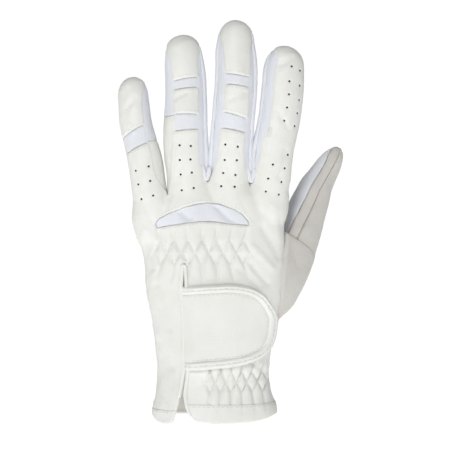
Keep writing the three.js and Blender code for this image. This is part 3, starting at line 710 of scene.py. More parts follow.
# Columns of the lines up the hand: rise, share of the half width
SLIT_LEFT = np.array([(0.0, -0.66), (0.065, -0.59), (0.098, -0.565), (0.164, -0.523), (0.234, -0.485),
                      (0.325, -0.474), (0.54, -0.467), (0.6, -0.445), (0.65, -0.425), (0.7, -0.435),
                      (1, -0.45)])
SLIT_RIGHT = np.array([(0.0, -0.3), (0.03, -0.36), (0.069, -0.43), (0.118, -0.474), (0.213, -0.445),
                       (0.304, -0.43), (0.428, -0.411), (0.54, -0.4), (0.6, -0.4), (0.65, -0.405),
                       (0.7, -0.4), (1, -0.38)])
# Left of the vent and of the first fork the columns lean outwards towards the cuff
VENT_COLUMN = np.array([(0, -0.9), (0.2, -0.85), (0.65, -0.75), (0.79, -0.7), (1, -0.7)])
FORK_COLUMN = np.array([(0, -0.8), (0.2, -0.73), (0.65, -0.61), (0.79, -0.58), (1, -0.58)])


def line(rows):
    """A table of two columns as a function of its first."""
    return lambda at: np.interp(at, rows[:, 0], rows[:, 1])


def gather(values, counts):
    """Values spread evenly between key values, with a count of steps for each part."""
    parts = [np.linspace(a, b, n + 1)[1:] for a, b, n in zip(values[:-1], values[1:], counts)]
    return np.concatenate([values[:1]] + parts)


def round_hand(across):
    """The angle round the hand's section at a share across: the arcsine of its size to the power of half
    the squareness, with its sign."""
    return np.sign(across) * np.arcsin(np.abs(across) ** (SQUARENESS / 2))


def hand_grid(row_lines, row_counts, column_lines, column_counts, palm=False):
    """A grid on the hand between key lines. A row line gives the rise at a share across, and a column
    line the share across at a rise, so each point's rise and share are found in turn, four times."""
    rows = gather(np.arange(len(row_lines), dtype=float), row_counts)[:, None]
    columns = gather(np.arange(len(column_lines), dtype=float), column_counts)[None, :]
    rise, across = rows * 0.15 + 0 * columns, columns * 0.2 - 1 + 0 * rows

    def between(lines, at, number):
        """The values of the two lines on either side of a fractional line number, mixed by its fraction."""
        known = np.stack([f(at) for f in lines])
        low = np.clip(np.floor(number).astype(int) + 0 * at.astype(int), 0, len(lines) - 2)
        part = number - low
        a, b = (np.take_along_axis(known, (low + k)[None], axis=0)[0] for k in (0, 1))
        return a * (1 - part) + b * part

    turns = [lambda at, f=f: np.arcsin(np.clip(f(at), -1, 1)) for f in column_lines]
    for _ in range(4):
        rise = between(row_lines, across, rows)
        across = np.sin(between(turns, rise, columns))
    angle = HALF_TURN - round_hand(across) if palm else round_hand(across)
    place, outward = hand_point(rise * HAND_HEIGHT, angle)
    place = settle(place, outward, False)
    return place, skin_normal(place, False), None


# %% The grid of the back, without the vent's and the slit's cells
BACK_ROWS = [line(BACK_EDGE), constant(SLIT_TOP), line(VENT_LOW), line(VENT_HIGH), line(ROOT_LINE)]
BACK_ROW_COUNTS = [132, 32, 16, 22]
BACK_COLUMNS = [constant(-1.0), line(VENT_COLUMN), line(FORK_COLUMN), line(SLIT_LEFT), line(SLIT_RIGHT),
                constant(FORKS[1]), constant(VENT_RIGHT), constant(FORKS[2]), constant(1.0)]
BACK_COLUMN_COUNTS = [26, 8, 12, 4, 30, 40, 4, 34]
row_at = np.concatenate([[0], np.cumsum(BACK_ROW_COUNTS)])
column_at = np.concatenate([[0], np.cumsum(BACK_COLUMN_COUNTS)])
hand_back = hand_grid(BACK_ROWS, BACK_ROW_COUNTS, BACK_COLUMNS, BACK_COLUMN_COUNTS)
keep = np.ones((row_at[-1], column_at[-1]), bool)
keep[:row_at[1], column_at[3]:column_at[4]] = False
keep[row_at[2]:row_at[3], column_at[1]:column_at[6]] = False
print("back of the hand:", hand_back[0].shape)


# %% Tongues that run from the hand onto a digit
def tongue(d, start, outward, high, left, right, step=FINE, run=12.0):
    """A grid from a row of points on the hand to a cross seam on the digit. At first its points keep
    the angles round the digit that the row has, and over a short run they turn to the angles between
    the two seams. What separates the row from the digit's own skin fades over the same run."""
    begin = (start[:, 2] - d["root"][2]) / d["length"]
    middle, _, across, back, half_width, half_depth = digit_section(d, begin)
    away = start - middle
    turn = np.unwrap(np.arctan2(dot(away, across) / half_width, -dot(away, back) / half_depth))
    turn = turn + 2 * HALF_TURN * np.round((left(0.2) - turn[0]) / (2 * HALF_TURN))
    share = ((turn - turn[0]) / (turn[-1] - turn[0]))[None, :]
    base = along_digit(d, float(begin.mean()), high[0], step)
    part = ((base - base[0]) / (base[-1] - base[0]))[:, None]
    angle = turn[None, :] + 0 * part
    for _ in range(3):
        along = base[:, None] + (begin - base[0])[None, :] * (1 - part) + np.sin(angle) * high[1] * part
        fade = smooth((along - begin[None, :]) * d["length"] / run)
        angle = turn * (1 - fade) + (left(along) * (1 - share) + right(along) * share) * fade
    place, out = digit_point(d, np.minimum(along, TIP[0]), angle)
    first, _ = digit_point(d, begin, turn)
    fade = fade[..., None]
    place = place + (start - first) * (1 - fade)
    direction = unit(outward * (1 - fade) + out * fade)
    place = settle(place, direction, False)
    place[0] = start
    return place, skin_normal(place, False), None


def edge_row(grid, a, b):
    """The last row of a grid between two of its key columns, in points and outward directions."""
    return grid[0][-1, a:b + 1], grid[1][-1, a:b + 1]


TONGUE_COLUMNS = {"little": (0, 2), "ring": (2, 5), "middle": (5, 7), "index": (7, 8)}
back_tongues = []
for finger, (first, last) in TONGUE_COLUMNS.items():
    d, left, right = FINGER_BACKS[finger]
    row = edge_row(hand_back, column_at[first], column_at[last])
    end = CROSS[finger][0] if finger in CROSS else TIP
    back_tongues.append(tongue(d, *row, end, left, right))
print("tongues:", [grid[0].shape[:2] for grid in back_tongues])

# %% [markdown]
# ## Gathers in the back of the hand
# Two rows of elastic, one under the knuckles and one over the cuff, draw the leather together. Between
# the zigzag threads it puffs up in diamonds, and from their points folds fan out and fade.

# %% The relief of the gathers
# Columns: middle and half height of a row, the middles of its first and last diamond, how many diamonds,
# and how far the folds reach above and below. Lengths are in millimetres
GATHERS = ((92.6, 6.6, -28.3, 17.6, 7, 11.0, 13.0), (22.4, 5.6, -0.8, 28.2, 6, 10.0, 15.0))
PUFF_HEIGHT, PUFF_EDGE = 1.9, 0.27


def gather_relief(place):
    """A puff is the distance to the zigzag lines, which are where the two shares, of the way from a
    diamond's middle to its side point and to its top point, add to one. Past the row only the share
    across is left, and the folds fade with the distance."""
    x, z = place[:, 0], place[:, 2]
    total = np.zeros(len(place))
    for middle, half, first, last, count, above, below in GATHERS:
        pitch = (last - first) / (count - 1)
        past = np.clip(np.abs(z - middle) - half, 0, None)
        reach = np.where(z > middle, above, below)
        centre = (first + last) / 2
        spread = centre + (x - centre) / (1 + 0.012 * past) + 0.9 * ripple(place, 17.0, 11) * past / reach
        share_across = np.abs((spread - first) / pitch - np.round((spread - first) / pitch)) * 2
        share_up = np.clip(np.abs(z - middle) / half, 0, 1)
        puff = 1 - np.exp(-np.abs(1 - share_across - share_up) / PUFF_EDGE)
        inside = smooth((x - first + pitch) / pitch) * smooth((last + pitch - x) / pitch)
        fade = (1 - smooth(past / reach)) * inside * (place[:, 1] < 0)
        size = PUFF_HEIGHT * (1 + 0.35 * ripple(place, 8.0, 12))
        total += (puff - 0.75) * size * fade
    return total


def back_relief(place, distance):
    """Leather with the gathers, which flatten towards the border."""
    return plain_relief(place, distance) + gather_relief(place) * smooth(distance / 2.5)


panel("back_panel_visual", [(hand_back[0], hand_back[1], keep), *back_tongues], BACK, "back_leather",
      ["back_panel", "index_back"], back_relief)


# %% Vent over the knuckles
def vent_relief(place, distance):
    """Two soft diagonal folds on the stretch fabric."""
    x, z = place[:, 0], place[:, 2]
    fold = sum(np.exp(-(((x - at) + 0.9 * (z - 111.0)) / 2.6) ** 2) for at in (-13.0, 9.0))
    return stretch_relief(place, distance) - 1.1 * fold * smooth(distance / 2)


vent = tuple(part[row_at[2]:row_at[3] + 1, column_at[1]:column_at[6] + 1] for part in hand_back[:2])
panel("knuckle_vent_visual", [(*vent, None)], STRETCH, "stretch_fabric", ["knuckle_vent"], vent_relief,
      roll=(0.35, 0.8), thickness=0.7)

# %% [markdown]
# ## Backs, sides and fronts of the fingers
# Above the tongues each finger back is cut across into leather caps, joint pieces and narrow stretch
# bands that let it bend. Stretch strips run down the sides between the fingers, and one leather front
# covers each finger's palm side, tip included.

# %% Caps, bands and joint pieces
FOUR_PIECES = ("band_lower", "joint_back", "band_upper", "tip_back")
BACKS = {"little": ("band", "tip_back"), "ring": FOUR_PIECES, "middle": FOUR_PIECES}
for finger, pieces in BACKS.items():
    d, left, right = FINGER_BACKS[finger]
    crossings = (*CROSS[finger], TIP)
    for low, high, piece in zip(crossings[:-1], crossings[1:], pieces):
        name = finger + "_" + piece
        grid = digit_grid(d, low, high, left, right)
        if piece.startswith("band"):
            panel(name + "_visual", [grid], STRETCH, "stretch_fabric", [name], stretch_relief,
                  roll=(0.35, 0.8), thickness=0.7)
        else:
            panel(name + "_visual", [grid], BACK, "back_leather", [name], plain_relief)

# %% Strips between the fingers
SPLIT_LITTLE, SPLIT_RING = 0.55, 0.5  # where leather changes to stretch fabric along a finger
SEAM_ALLOWANCE, ROOT_ALLOWANCE = 0.16, 0.45  # how far a strip reaches under the leather, as angles


def side_strip(d, low, high, name):
    """A strip on a finger's side, from its back seam round to the seam's mirror image on the palm side.
    It reaches a little under the leather on both sides, and further at the root of the finger."""
    def angle(t):
        """The seam's angle less the allowance, which is larger at the root."""
        under = SEAM_ALLOWANCE + ROOT_ALLOWANCE * (1 - smooth((t - 0.05) / 0.2))
        return np.clip(np.abs(seam(name)(t)) - under, 0.3, None)

    side = np.sign(seam(name)(0.5))
    return digit_grid(d, (low, 0), (high, 0), lambda t: side * angle(t),
                      lambda t: side * (HALF_TURN - angle(t)), step=0.8)


# Columns of each part: the digit, its lower and upper end, the seam it starts at
STRIPS = {
    "little_side_stretch": [(LITTLE, SPLIT_LITTLE, 0.945, "little_right")],
    "ring_side_stretch": [(RING, SPLIT_RING, 0.925, "ring_left")],
    "side_strip_little_ring": [(LITTLE, 0.02, SPLIT_LITTLE, "little_right"),
                               (RING, -0.1, SPLIT_RING, "ring_left")],
    "fourchette_ring_middle": [(RING, -0.06, 0.925, "ring_right"), (MIDDLE, -0.08, 0.925, "middle_left")],
    "fourchette_middle_index": [(MIDDLE, -0.08, 0.925, "middle_right"), (INDEX, -0.06, 0.975, "index_left")],
}
for name, parts in STRIPS.items():
    grids = [side_strip(*part) for part in parts]
    edges = {"roll": (0.3, 1.0), "thickness": 0.8}
    if name == "side_strip_little_ring":
        panel(name + "_visual", grids, BACK, "back_leather", [name], plain_relief, lift=-0.4, **edges)
    else:
        panel(name + "_visual", grids, STRETCH, "stretch_fabric", [name], stretch_relief, **edges)

# %% Palm and finger fronts
PALM_ROWS = [line(PALM_EDGE), constant(0.4), line(ROOT_LINE)]
PALM_COLUMNS = [constant(at) for at in (1.0, *FORKS[::-1], -1.0)]
PALM_COUNTS = [22, 24, 24, 22]
palm_grid = hand_grid(PALM_ROWS, [50, 70], PALM_COLUMNS, PALM_COUNTS, palm=True)
panel("palm_panel_visual", [palm_grid], PALM_PAINTED_SHADE, "palm_leather", ["palm_panel"], plain_relief)

palm_at = np.concatenate([[0], np.cumsum(PALM_COUNTS)])
for k, finger in enumerate(("index", "middle", "ring", "little")):
    d, left, right = FINGER_BACKS[finger]
    row = edge_row(palm_grid, palm_at[k], palm_at[k + 1])
    grid = tongue(d, *row, TIP, palm_side(right), palm_side(left), step=0.9)
    panel(finger + "_front_visual", [grid], PALM_PAINTED_SHADE, "palm_leather", [finger + "_front"], plain_relief)

# %% [markdown]
# ## The thumb
# The thumb is a tube of its own, set into the edge of the palm. Its base spreads onto the palm, so its
# grid slides out to the blended field. A stretch gusset faces the fingers, a leather strip runs along
# the back, and one panel covers the rest.

# %% Thumb base and thumb pieces
BASE_FRONT = np.array([(-0.15, 0.6), (0.0, 0.5), (0.06, 0.2), (0.15, -0.3), (0.25, -0.8), (0.33, -1.2),
                       (0.42, -1.5)])
BASE_PALM = np.array([(-0.15, 3.4), (0.0, 3.7), (0.06, 4.1), (0.15, 4.4), (0.25, 4.65), (0.42, 4.75)])
THUMB_LAP = 0.4


def held_near(grid, settled, most=4.2):
    """The settled grid, but with no point moved further than a limit from the digit's own skin. What lies
    deep in the hand stays there, so the grid's sides run into the hand and leave no gap."""
    shift = dot(settled[0] - grid[0], grid[1])
    still = np.abs(shift) < 1e-6
    part = np.clip(shift, -1.0, most) / np.where(still, 1, shift)
    place = grid[0] + (settled[0] - grid[0]) * np.where(still, 1, part)[..., None]
    outward = unit(grid[1] * (1 - part)[..., None] + settled[1] * part[..., None])
    return place, outward, None


base_seams = ((-0.12, 0), (0.385, -0.02), line(BASE_FRONT), line(BASE_PALM))
base = held_near(digit_grid(THUMB, *base_seams, step=0.8),
                 digit_grid(THUMB, *base_seams, step=0.8, thenar=True))
panel("thumb_base_visual", [base], PALM_PAINTED_SHADE, "palm_leather", ["thumb_base"], plain_relief, lift=THUMB_LAP,
      roll=(1.1, 1.6))
GUSSET_BACK = 3 * QUARTER - 0.35
THUMB_FOOT = (0.34, 0)
thumb_parts = (
    ("thumb_gusset", constant(GUSSET_BACK - 2 * HALF_TURN), seam("gusset"), STRETCH),
    ("thumb_strip", seam("gusset"), seam("thumb_strip"), PALM_PAINTED_SHADE),
    ("thumb_panel", seam("thumb_strip"), constant(GUSSET_BACK), PALM_PAINTED_SHADE),
)
for name, left, right, material in thumb_parts:
    grid = digit_grid(THUMB, THUMB_FOOT, TIP, left, right, step=0.7)
    if material is STRETCH:
        panel(name + "_visual", [grid], STRETCH, "stretch_fabric", [name], stretch_relief, roll=(0.35, 0.8),
              thickness=0.8)
    else:
        panel(name + "_visual", [grid], PALM_PAINTED_SHADE, "palm_leather", [name], plain_relief)

# %% [markdown]
# ## Strap, hems and bindings
# The cuff closes with a strap of hook and loop over the slit. Its rim is a padded roll with a row of
# stitches, sewn round a smooth middle. The cuff's edge is folded up into a hem, and a narrow binding
# covers the raw edges of the slit. These pieces are drawn flat, as seen from the front, and laid on the
# back of the hand at a height.

# %% Lay flat outlines on the back of the hand
def on_back(x, z):
    """The point of the back of the hand that is seen at x and z, and its outward direction."""
    middle, half_width, _, _ = hand_section(z / HAND_HEIGHT)
    across = np.clip((x - middle) / half_width, -0.999, 0.999)
    return hand_point(z, round_hand(across))


def flat(rows):
    """Front-view places, in millimetres, of rows of rise and share across."""
    rise, across = np.array(rows).T
    middle, half_width, _, _ = hand_section(rise)
    return np.stack([middle + across * half_width, rise * HAND_HEIGHT], axis=-1)


def run_along(points):
    """The distance walked along a line, at each of its points."""
    return np.concatenate([[0], np.cumsum(np.linalg.norm(np.diff(points, axis=0), axis=1))])


def read_at(at, known, values):
    """Each column of the values between its known places, by straight lines."""
    return np.stack([np.interp(at, known, column) for column in values.T], axis=-1)


def even_path(points, count):
    """A smooth line through points, read at even distances along it."""
    run = run_along(points)
    fine = read(np.concatenate([run[:, None], points], axis=1), np.linspace(0, run[-1], 800))
    run = run_along(fine)
    return read_at(np.linspace(0, run[-1], count), run, fine)


def sideways(path):
    """Unit directions to the right of a flat path, as one walks along it."""
    forward = unit(np.gradient(path, axis=0))
    return np.stack([forward[:, 1], -forward[:, 0]], axis=-1)


def laid(flat_grid, height):
    """A flat grid laid on the back of the hand at a height over the skin."""
    place, outward = on_back(flat_grid[..., 0], flat_grid[..., 1])
    return place + outward * np.asarray(height + 0 * flat_grid[..., 0])[..., None], outward, None


# %% Outline of the strap
STRAP_OUTLINE = flat([
    (0.557, -0.485), (0.566, -0.05), (0.568, 0.288), (0.558, 0.49), (0.528, 0.69), (0.478, 0.845),
    (0.428, 0.958), (0.384, 0.985), (0.342, 0.985), (0.304, 0.95), (0.269, 0.832), (0.242, 0.601),
    (0.228, 0.277), (0.22, -0.06), (0.212, -0.49)])
RIM_WIDTH = 5.0
STRAP_HEIGHT = 3.0
strap_path = even_path(STRAP_OUTLINE, 241)
inner_path = strap_path + sideways(strap_path) * RIM_WIDTH


def strap_rise(x):
    """How much of its height the strap has: it comes up from the slit under the flap's edge."""
    return 0.22 + 0.78 * smooth((x - strap_path[0, 0]) / 9.0)


print("strap outline:", len(strap_path), "points")

# %% Strap with its padded rim
STITCH_SHARE = 0.52  # the groove of the rim's stitches, as a share of the rim's width
across = np.linspace(0, 1, 25)[None, :]
rim_grid = strap_path[:, None] * (1 - across[..., None]) + inner_path[:, None] * across[..., None]
turned_edge = 1.6 * (1 - smooth(across / 0.3))
bulge = 0.9 * (1 - np.abs(2 * across - 1) ** 3)
groove = 0.35 * np.exp(-((across - STITCH_SHARE) / 0.07) ** 2)
rim_height = (STRAP_HEIGHT - turned_edge + bulge - groove) * strap_rise(rim_grid[..., 0])
panel("strap_binding_visual", [laid(rim_grid, rim_height)], BINDING, "binding", ["strap_binding"],
      lambda place, distance: 0.06 * ripple(place, 3.2, 21) + 0.1 * ripple(place, 11.0, 22), roll=(1.3, 1.3),
      thickness=1.0)

# %% Middle of the strap and the pad under it
half = len(inner_path) // 2
share = np.linspace(0, 1, 61)[None, :, None]
overlap = inner_path - sideways(inner_path) * 0.5
inner_grid = overlap[:half + 1][:, None] * (1 - share) + overlap[half:][::-1][:, None] * share
inner_height = (STRAP_HEIGHT - 0.25) * strap_rise(inner_grid[..., 0])
panel("closure_strap_visual", [laid(inner_grid, inner_height)], BACK, "back_leather", ["closure_strap"],
      lambda place, distance: 0.1 * ripple(place, 14.0, 23) + 0.4 * (1 - np.exp(-distance / 2.5)),
      roll=(0.6, 0.9), thickness=1.0)
pad_path = inner_path + sideways(inner_path) * 3.0
pad_grid = pad_path[:half + 1][:, None] * (1 - share) + pad_path[half:][::-1][:, None] * share
panel("closure_pad_visual", [laid(pad_grid, 1.0 * strap_rise(pad_grid[..., 0]))], PAD, "hook_and_loop",
      ["closure_pad"], thickness=0.6)


# %% Binding of the slit
def piping(path, half_width, height, base=-0.2):
    """A half-round strip along a flat path: its section is a half circle stretched to the two sizes."""
    turn = np.linspace(0, HALF_TURN, 15)[None, :]
    offset = sideways(path)[:, None] * (half_width * np.cos(turn))[..., None]
    return laid(path[:, None] + offset, base + height * np.sin(turn))


def slit_path(rows, low, high, count):
    """A flat path along an edge of the slit between two rises."""
    rise = np.linspace(low, high, count)
    return flat(np.stack([rise, line(rows)(rise)], axis=-1))


BINDING_HALF_WIDTH, BINDING_HEIGHT = 1.1, 1.2
STRAP_LOW, STRAP_HIGH = 0.21, 0.56
left_side = slit_path(SLIT_LEFT, 0.035, SLIT_TOP - 0.01, 170)
left_side[:, 0] -= 0.6
right_high = slit_path(SLIT_RIGHT, STRAP_HIGH - 0.03, SLIT_TOP - 0.01, 24)[::-1]
loop = even_path(np.concatenate([left_side[20:], right_high]), 190)
right_low = slit_path(SLIT_RIGHT, 0.03, STRAP_LOW + 0.03, 40)
panel("slit_binding_visual", [piping(loop, BINDING_HALF_WIDTH, BINDING_HEIGHT),
                              piping(right_low, BINDING_HALF_WIDTH, BINDING_HEIGHT)], BINDING, "binding",
      ["slit_binding"], lambda place, distance: 0.08 * ripple(place, 3.0, 24), roll=(0.3, 0.5), thickness=0.7)

# %% Hems of the cuff and of the flap
HEM_RISE, FLAP_HEM_RISE = 0.082, 0.055
HEM_DROP = 0.006
HEM_LIFT = 0.5


def lowered(rows):
    """An edge line, a little lower, so the hem wraps round the raw edge."""
    return lambda at: line(rows)(at) - HEM_DROP


back_hem = hand_grid([lowered(BACK_EDGE), constant(HEM_RISE)], [20], [line(SLIT_RIGHT), constant(1.0)], [90])
palm_hem = hand_grid([lowered(PALM_EDGE), constant(HEM_RISE)], [20], [constant(1.0), constant(-1.0)], [120],
                     palm=True)
flap_hem = hand_grid([lowered(BACK_EDGE), constant(FLAP_HEM_RISE)], [16],
                     [constant(-1.0), line(SLIT_LEFT)], [50])


def hem_relief(place, distance):
    """Leather, with half the height of the gathers below it."""
    return plain_relief(place, distance) + gather_relief(place) * 0.5


for name, grids in (("cuff_hem", [back_hem, palm_hem]), ("flap_hem", [flap_hem])):
    panel(name + "_visual", grids, BACK, "back_leather", [name], hem_relief, lift=HEM_LIFT, roll=(0.9, 1.3))

# %% [markdown]
# ## Stitches and vent holes
# A stitch is a short bead of thread lying along the seam, and a vent hole is a dark bead sunk in the
# leather, painted shade for the inside of the hole. Both are copies of one small ball, stretched to three
# sizes and laid along three directions.

# %% Beads
def ball(rings=5, count=8):
    """A ball of rings of points between two poles, with its faces of four and of three corners."""
    lift = np.linspace(-1, 1, rings + 2)[1:-1]
    turn = np.linspace(0, 2 * HALF_TURN, count, endpoint=False)
    radius = np.sqrt(1 - lift**2)
    points = np.stack([np.repeat(lift, count), np.outer(radius, np.cos(turn)).ravel(),
                       np.outer(radius, np.sin(turn)).ravel()], axis=-1)
    points = np.concatenate([points, [(-1, 0, 0), (1, 0, 0)]])
    number = np.arange(rings * count).reshape(rings, count)
    after = np.roll(number, -1, axis=1)
    four = np.stack([number[:-1], after[:-1], after[1:], number[1:]], axis=-1).reshape(-1, 4)
    low = np.stack([after[0], number[0], 0 * number[0] + rings * count], axis=-1)
    high = np.stack([number[-1], after[-1], 0 * number[-1] + rings * count + 1], axis=-1)
    return points, four, np.concatenate([low, high])


def beads(name, centre, along, outward, size, material, rings=5, count=8):
    """One ball at each centre: its axis lies along, its height outward, its width across both."""
    points, four, three = ball(rings, count)
    along = unit(along - outward * dot(along, outward)[:, None])
    across = np.cross(outward, along)
    frame_of = np.stack([along * size[0], across * size[1], outward * size[2]], axis=1)
    place = (centre[:, None] + points @ frame_of).reshape(-1, 3)
    start = (np.arange(len(centre)) * len(points))[:, None, None]
    faces = (four + start).reshape(-1, 4).tolist() + (three + start).reshape(-1, 3).tolist()
    return glove_piece(name, place, faces, material)


# %% Stitches along lines of points
def stitch_row(place, outward, length=2.1, gap=0.9):
    """Middles, directions and outward directions of stitches, evenly spaced along a line of points."""
    run = run_along(place)
    at = np.arange(gap, run[-1] - length, length + gap) + length / 2
    along = unit(read_at(at + length / 2, run, place) - read_at(at - length / 2, run, place))
    return read_at(at, run, place), along, unit(read_at(at, run, outward))


def sew(name, rows, size=(1.0, 0.24, 0.2), slot="binding", **spacing):
    """Stitches along several lines of points, as one piece."""
    found = [stitch_row(*row, **spacing) for row in rows]
    centre, along, outward = (np.concatenate([part[k] for part in found]) for k in range(3))
    print(f"{name}: {len(centre)} stitches")
    return beads(name, centre, along, outward, size, THREAD)


def raised(place, outward, height):
    """The same line of points, higher over the skin."""
    return place + outward * np.asarray(height)[..., None], outward


def inland(place):
    """A distance from any border at which the puckers and rolls of an edge have faded."""
    return np.full(len(place), 3.0)


# %% Stitches of the strap
def strap_row(share, height):
    """A line round the strap at a share of the rim's width and a height."""
    path = strap_path * (1 - share) + inner_path * share
    place, outward = on_back(path[:, 0], path[:, 1])
    return raised(place, outward, height * strap_rise(path[:, 0]))


sew("strap_stitches", [strap_row(STITCH_SHARE, STRAP_HEIGHT + 0.62)])
sew("strap_inner_stitches", [strap_row(1.14, STRAP_HEIGHT + 0.02)], size=(0.8, 0.16, 0.12), length=1.7,
    gap=0.7)


# %% Threads of the gathers and of the vent
def on_leather(path):
    """A flat path on the relief of the back of the hand, away from any border."""
    start, outward = on_back(path[:, 0], path[:, 1])
    place = settle(start, outward, False)
    return raised(place, outward, back_relief(place, inland(place)))


rows = []
for middle, half, first, last, count, _, _ in GATHERS:
    pitch = (last - first) / (count - 1)
    side = np.arange(2 * count + 1)
    x = first + pitch * (side / 2 - 0.5)
    steps = np.linspace(0, 2 * count, 24 * count)
    for turn in (1, -1):
        z = middle + turn * half * (side % 2) * 0.95
        rows.append(on_leather(read_at(steps, side, np.stack([x, z], axis=-1))))
sew("gather_stitches", rows, size=(0.55, 0.16, 0.13), slot="back_leather", length=1.2, gap=0.7)

vent_line = np.concatenate([flat(VENT_HIGH[:, ::-1]), flat(VENT_LOW[::-1][:, ::-1])])
vent_line = np.concatenate([vent_line, vent_line[:1]])
vent_line = read_at(np.linspace(0, len(vent_line) - 1, 400), np.arange(len(vent_line)), vent_line)
vent_line = vent_line - sideways(vent_line) * 1.3
sew("vent_stitches", [on_leather(vent_line)], size=(0.6, 0.17, 0.14), slot="back_leather", length=1.3,
    gap=0.7)

# %% Stitches of the hems
HEM_STITCH_DROP = 1.7  # from the hem's upper edge, in millimetres
rows = []
for low, high, rise, palm in ((-0.985, -0.66, FLAP_HEM_RISE, False), (-0.36, 0.985, HEM_RISE, False),
                              (-0.985, 0.985, HEM_RISE, True)):
    across = np.linspace(low, high, 160)
    turn = HALF_TURN - round_hand(across) if palm else round_hand(across)
    place, outward = hand_point((rise * HAND_HEIGHT - HEM_STITCH_DROP) + 0 * across, turn)
    rows.append(raised(place, outward, HEM_LIFT + hem_relief(place, inland(place))))
sew("hem_stitches", rows, size=(0.85, 0.18, 0.14), slot="back_leather", length=1.8, gap=0.8)

# %% Stitches beside the bands
# Each band lies above an even cross seam and below an odd one, and the stitches lie in the leather
BAND_STITCH_OFFSET = 1.7
rows = []
for finger, crossings in CROSS.items():
    d, left, right = FINGER_BACKS[finger]
    for number, (middle, slant) in enumerate(crossings):
        side = 1 if number % 2 else -1
        share = np.linspace(0.04, 0.96, 60)
        turn = float(left(middle)) * (1 - share) + float(right(middle)) * share
        along = middle + slant * np.sin(turn) + side * BAND_STITCH_OFFSET / d["length"]
        place, outward = digit_point(d, along, turn)
        rows.append(raised(place, outward, plain_relief(place, inland(place)) + 0.02))
sew("band_stitches", rows, size=(0.5, 0.15, 0.12), slot="back_leather", length=1.1, gap=0.65)

# %% Bar on the index finger and rows on the thumb
rows = []
for along in np.linspace(0.405, 0.458, 9):
    turn = np.linspace(-0.52, -0.22, 12)
    place, outward = digit_point(INDEX, along + 0 * turn, turn)
    place = settle(place, outward, False)
    rows.append(raised(place, outward, back_relief(place, inland(place)) + 0.03))
sew("index_bar_stitches", rows, size=(0.55, 0.17, 0.15), slot="back_leather", length=1.1, gap=0.25)

rows = []
for along in (0.6, 0.645):
    turn = np.linspace(float(seam("gusset")(along)) + 0.06, float(seam("thumb_strip")(along)) - 0.06, 30)
    place, outward = digit_point(THUMB, along + 0 * turn, turn)
    rows.append(raised(place, outward, plain_relief(place, inland(place)) + 0.05))
sew("thumb_stitches", rows, size=(0.5, 0.2, 0.16), slot="palm_leather", length=1.0, gap=0.5)

# %% [markdown]
# ## Rolled fabric in the forks
# Beside a gap between two fingers the stretch fabric folds over in a soft roll, and the two rolls
# bunch up at the bottom of the gap, where the leather holds them.

# %% Rolls along the fingers and their bunched ends
def side_roll(d, side, low, high, angle=1.3, half_width=1.7, height=1.1):
    """A half-round roll along a finger's side: its section is a half circle stretched to the two
    sizes, and it thins out towards its upper end."""
    t = np.linspace(low, high, 170)[:, None]
    turn = np.linspace(0, HALF_TURN, 13)[None, :]
    half_depth = digit_section(d, t)[5]
    place, outward = digit_point(d, t + 0 * turn, side * (angle + np.cos(turn) * half_width / half_depth))
    place = settle(place, outward, False)
    rise = height * smooth((high - t) / 0.15) * np.sin(turn) - 0.15
    return place + outward * rise[..., None], outward, None


def bunch(name, x, z):
    """Three lobes at the bottom of a gap: the ends of the two rolls, and a pucker below them."""
    skin = settle(np.array([[x, -15.0, z - 4.5]]), np.array([[0.0, -1.0, 0.0]]), False, 12)[0]
    centre = np.array([(x - 1.25, skin[1] + 0.5, z + 0.9), (x + 1.25, skin[1] + 0.5, z + 0.9),
                       (x, skin[1] + 0.1, z - 2.0)])
    along = np.array([(-0.2, 0.0, 1.0), (0.2, 0.0, 1.0), (1.0, 0.0, 0.1)])
    size = [np.array([[long], [long], [short]]) for long, short in ((3.9, 1.8), (1.35, 1.5), (1.5, 1.1))]
    return beads(name, centre, unit(along), np.tile((0.0, -1.0, 0.0), (3, 1)), size, STRETCH,
                 15, 20)


# Columns: x and z of the bunch in the front view in millimetres, and for each roll the digit, its side,
# its lower and its upper end
FORK_ROLLS = {
    "fork_ring_middle": (-3.0, 135.2, ((RING, 1, 0.175, 0.93), (MIDDLE, -1, 0.145, 0.93))),
    "fork_middle_index": (21.6, 134.0, ((MIDDLE, 1, 0.14, 0.93), (INDEX, -1, 0.175, 0.97))),
}
for name, (x, z, rolls) in FORK_ROLLS.items():
    panel(name + "_rolls", [side_roll(*roll) for roll in rolls], STRETCH, "stretch_fabric", (),
          lambda place, distance: 0.1 * ripple(place, 3.0, 41) + 0.12 * ripple(place, 10.0, 42),
          roll=(0.3, 0.5), thickness=0.7)
    bunch(name + "_bunch", x, z)

# %% Dark beads in the vent holes, painted shade for their insides
hole_outward = skin_normal(HOLES, False)
hole_centre = HOLES + hole_outward * (plain_relief(HOLES, inland(HOLES)) + 0.1)[:, None]
# Each hole's inside is a near-black bead: painted shade, not a colour of the glove
beads("vent_holes", hole_centre, np.tile((0.0, 0.0, 1.0), (len(HOLES), 1)), hole_outward, (0.74, 0.74, 0.2),
      HOLE_PAINTED_SHADE)

# %% [markdown]
# ## Camera, light and floor
# The photograph shows the glove alone on plain white, lit softly from above. A pale floor that glows and
# a dome that only the camera sees give the white, where a painted background would lack the far view from
# other sides. One lamp high in front draws the folds, and a faint one lifts the shadows. The camera looks
# straight at the back of the glove from its middle height.

# %% Floor and backdrop
FLOOR_SIZE, FLOOR_LEVEL, DOME_RADIUS = 6.0, -0.03, 5.0


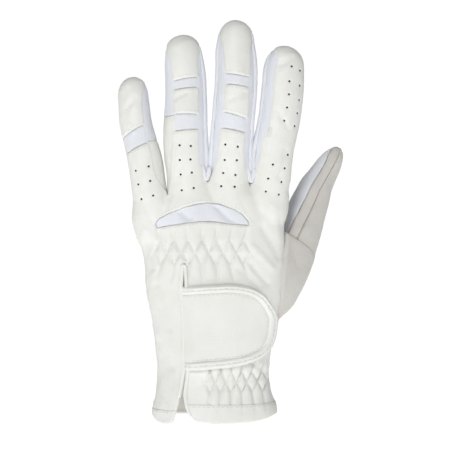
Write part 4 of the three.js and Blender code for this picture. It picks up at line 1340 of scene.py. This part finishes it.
def paper(name, colour, roughness, glow):
    """A matt surface of one grey that also glows white."""
    material = bpy.data.materials.new(name)
    material.use_nodes = True
    inputs = material.node_tree.nodes["Principled BSDF"].inputs
    inputs["Base Color"].default_value = (colour, colour, colour, 1)
    inputs["Roughness"].default_value = roughness
    inputs["Emission Color"].default_value = (1, 1, 1, 1)
    inputs["Emission Strength"].default_value = glow
    return material


corners = np.array([(-1, -1, 0), (1, -1, 0), (1, 1, 0), (-1, 1, 0)]) * FLOOR_SIZE + (0, 0, FLOOR_LEVEL)
new_object("floor", corners, [(0, 1, 2, 3)], paper("pale_paper", 0.92, 0.9, 0.9))
points, four, three = ball(15, 32)
backdrop = new_object("backdrop", points[:, [1, 2, 0]] * DOME_RADIUS, four.tolist() + three.tolist(),
                      paper("lit_paper", 0.0, 0.5, 1.0))
backdrop.visible_diffuse = backdrop.visible_glossy = backdrop.visible_shadow = False
print("floor at", FLOOR_LEVEL, "m")

# %% Light
AIM = (0, 0, 0.11)


def area_light(name, place, size, power):
    """A square lamp turned towards the middle of the glove: tipped by the angle between straight down and
    its direction, and turned by the direction's bearing."""
    lamp = bpy.data.lights.new(name, "AREA")
    lamp.size, lamp.energy = size, power
    item = bpy.data.objects.new(name, lamp)
    item.location = place
    x, y, z = np.array(AIM) - np.array(place)
    item.rotation_euler = (math.atan2(math.hypot(x, y), -z), 0, math.atan2(y, x) - math.pi / 2)
    bpy.context.collection.objects.link(item)


world = bpy.context.scene.world or bpy.data.worlds.new("studio")
bpy.context.scene.world = world
world.use_nodes = True
world.node_tree.nodes["Background"].inputs["Color"].default_value = (1, 1, 1, 1)
world.node_tree.nodes["Background"].inputs["Strength"].default_value = 0.17
area_light("key", (-0.3, -1.3, 0.95), 0.35, 10.7)
area_light("fill", (0.4, -1.3, 0.2), 1.2, 0.2)
print("lights aim at", AIM)

# %% Camera
camera = bpy.data.objects.new("camera", bpy.data.cameras.new("camera"))
camera.data.lens = 120.0
camera.location = (0.00935, -0.845, 0.1054)
camera.rotation_euler = (math.pi / 2, 0, 0)
bpy.context.collection.objects.link(camera)
bpy.context.scene.camera = camera
bpy.context.scene.view_settings.view_transform = "Standard"
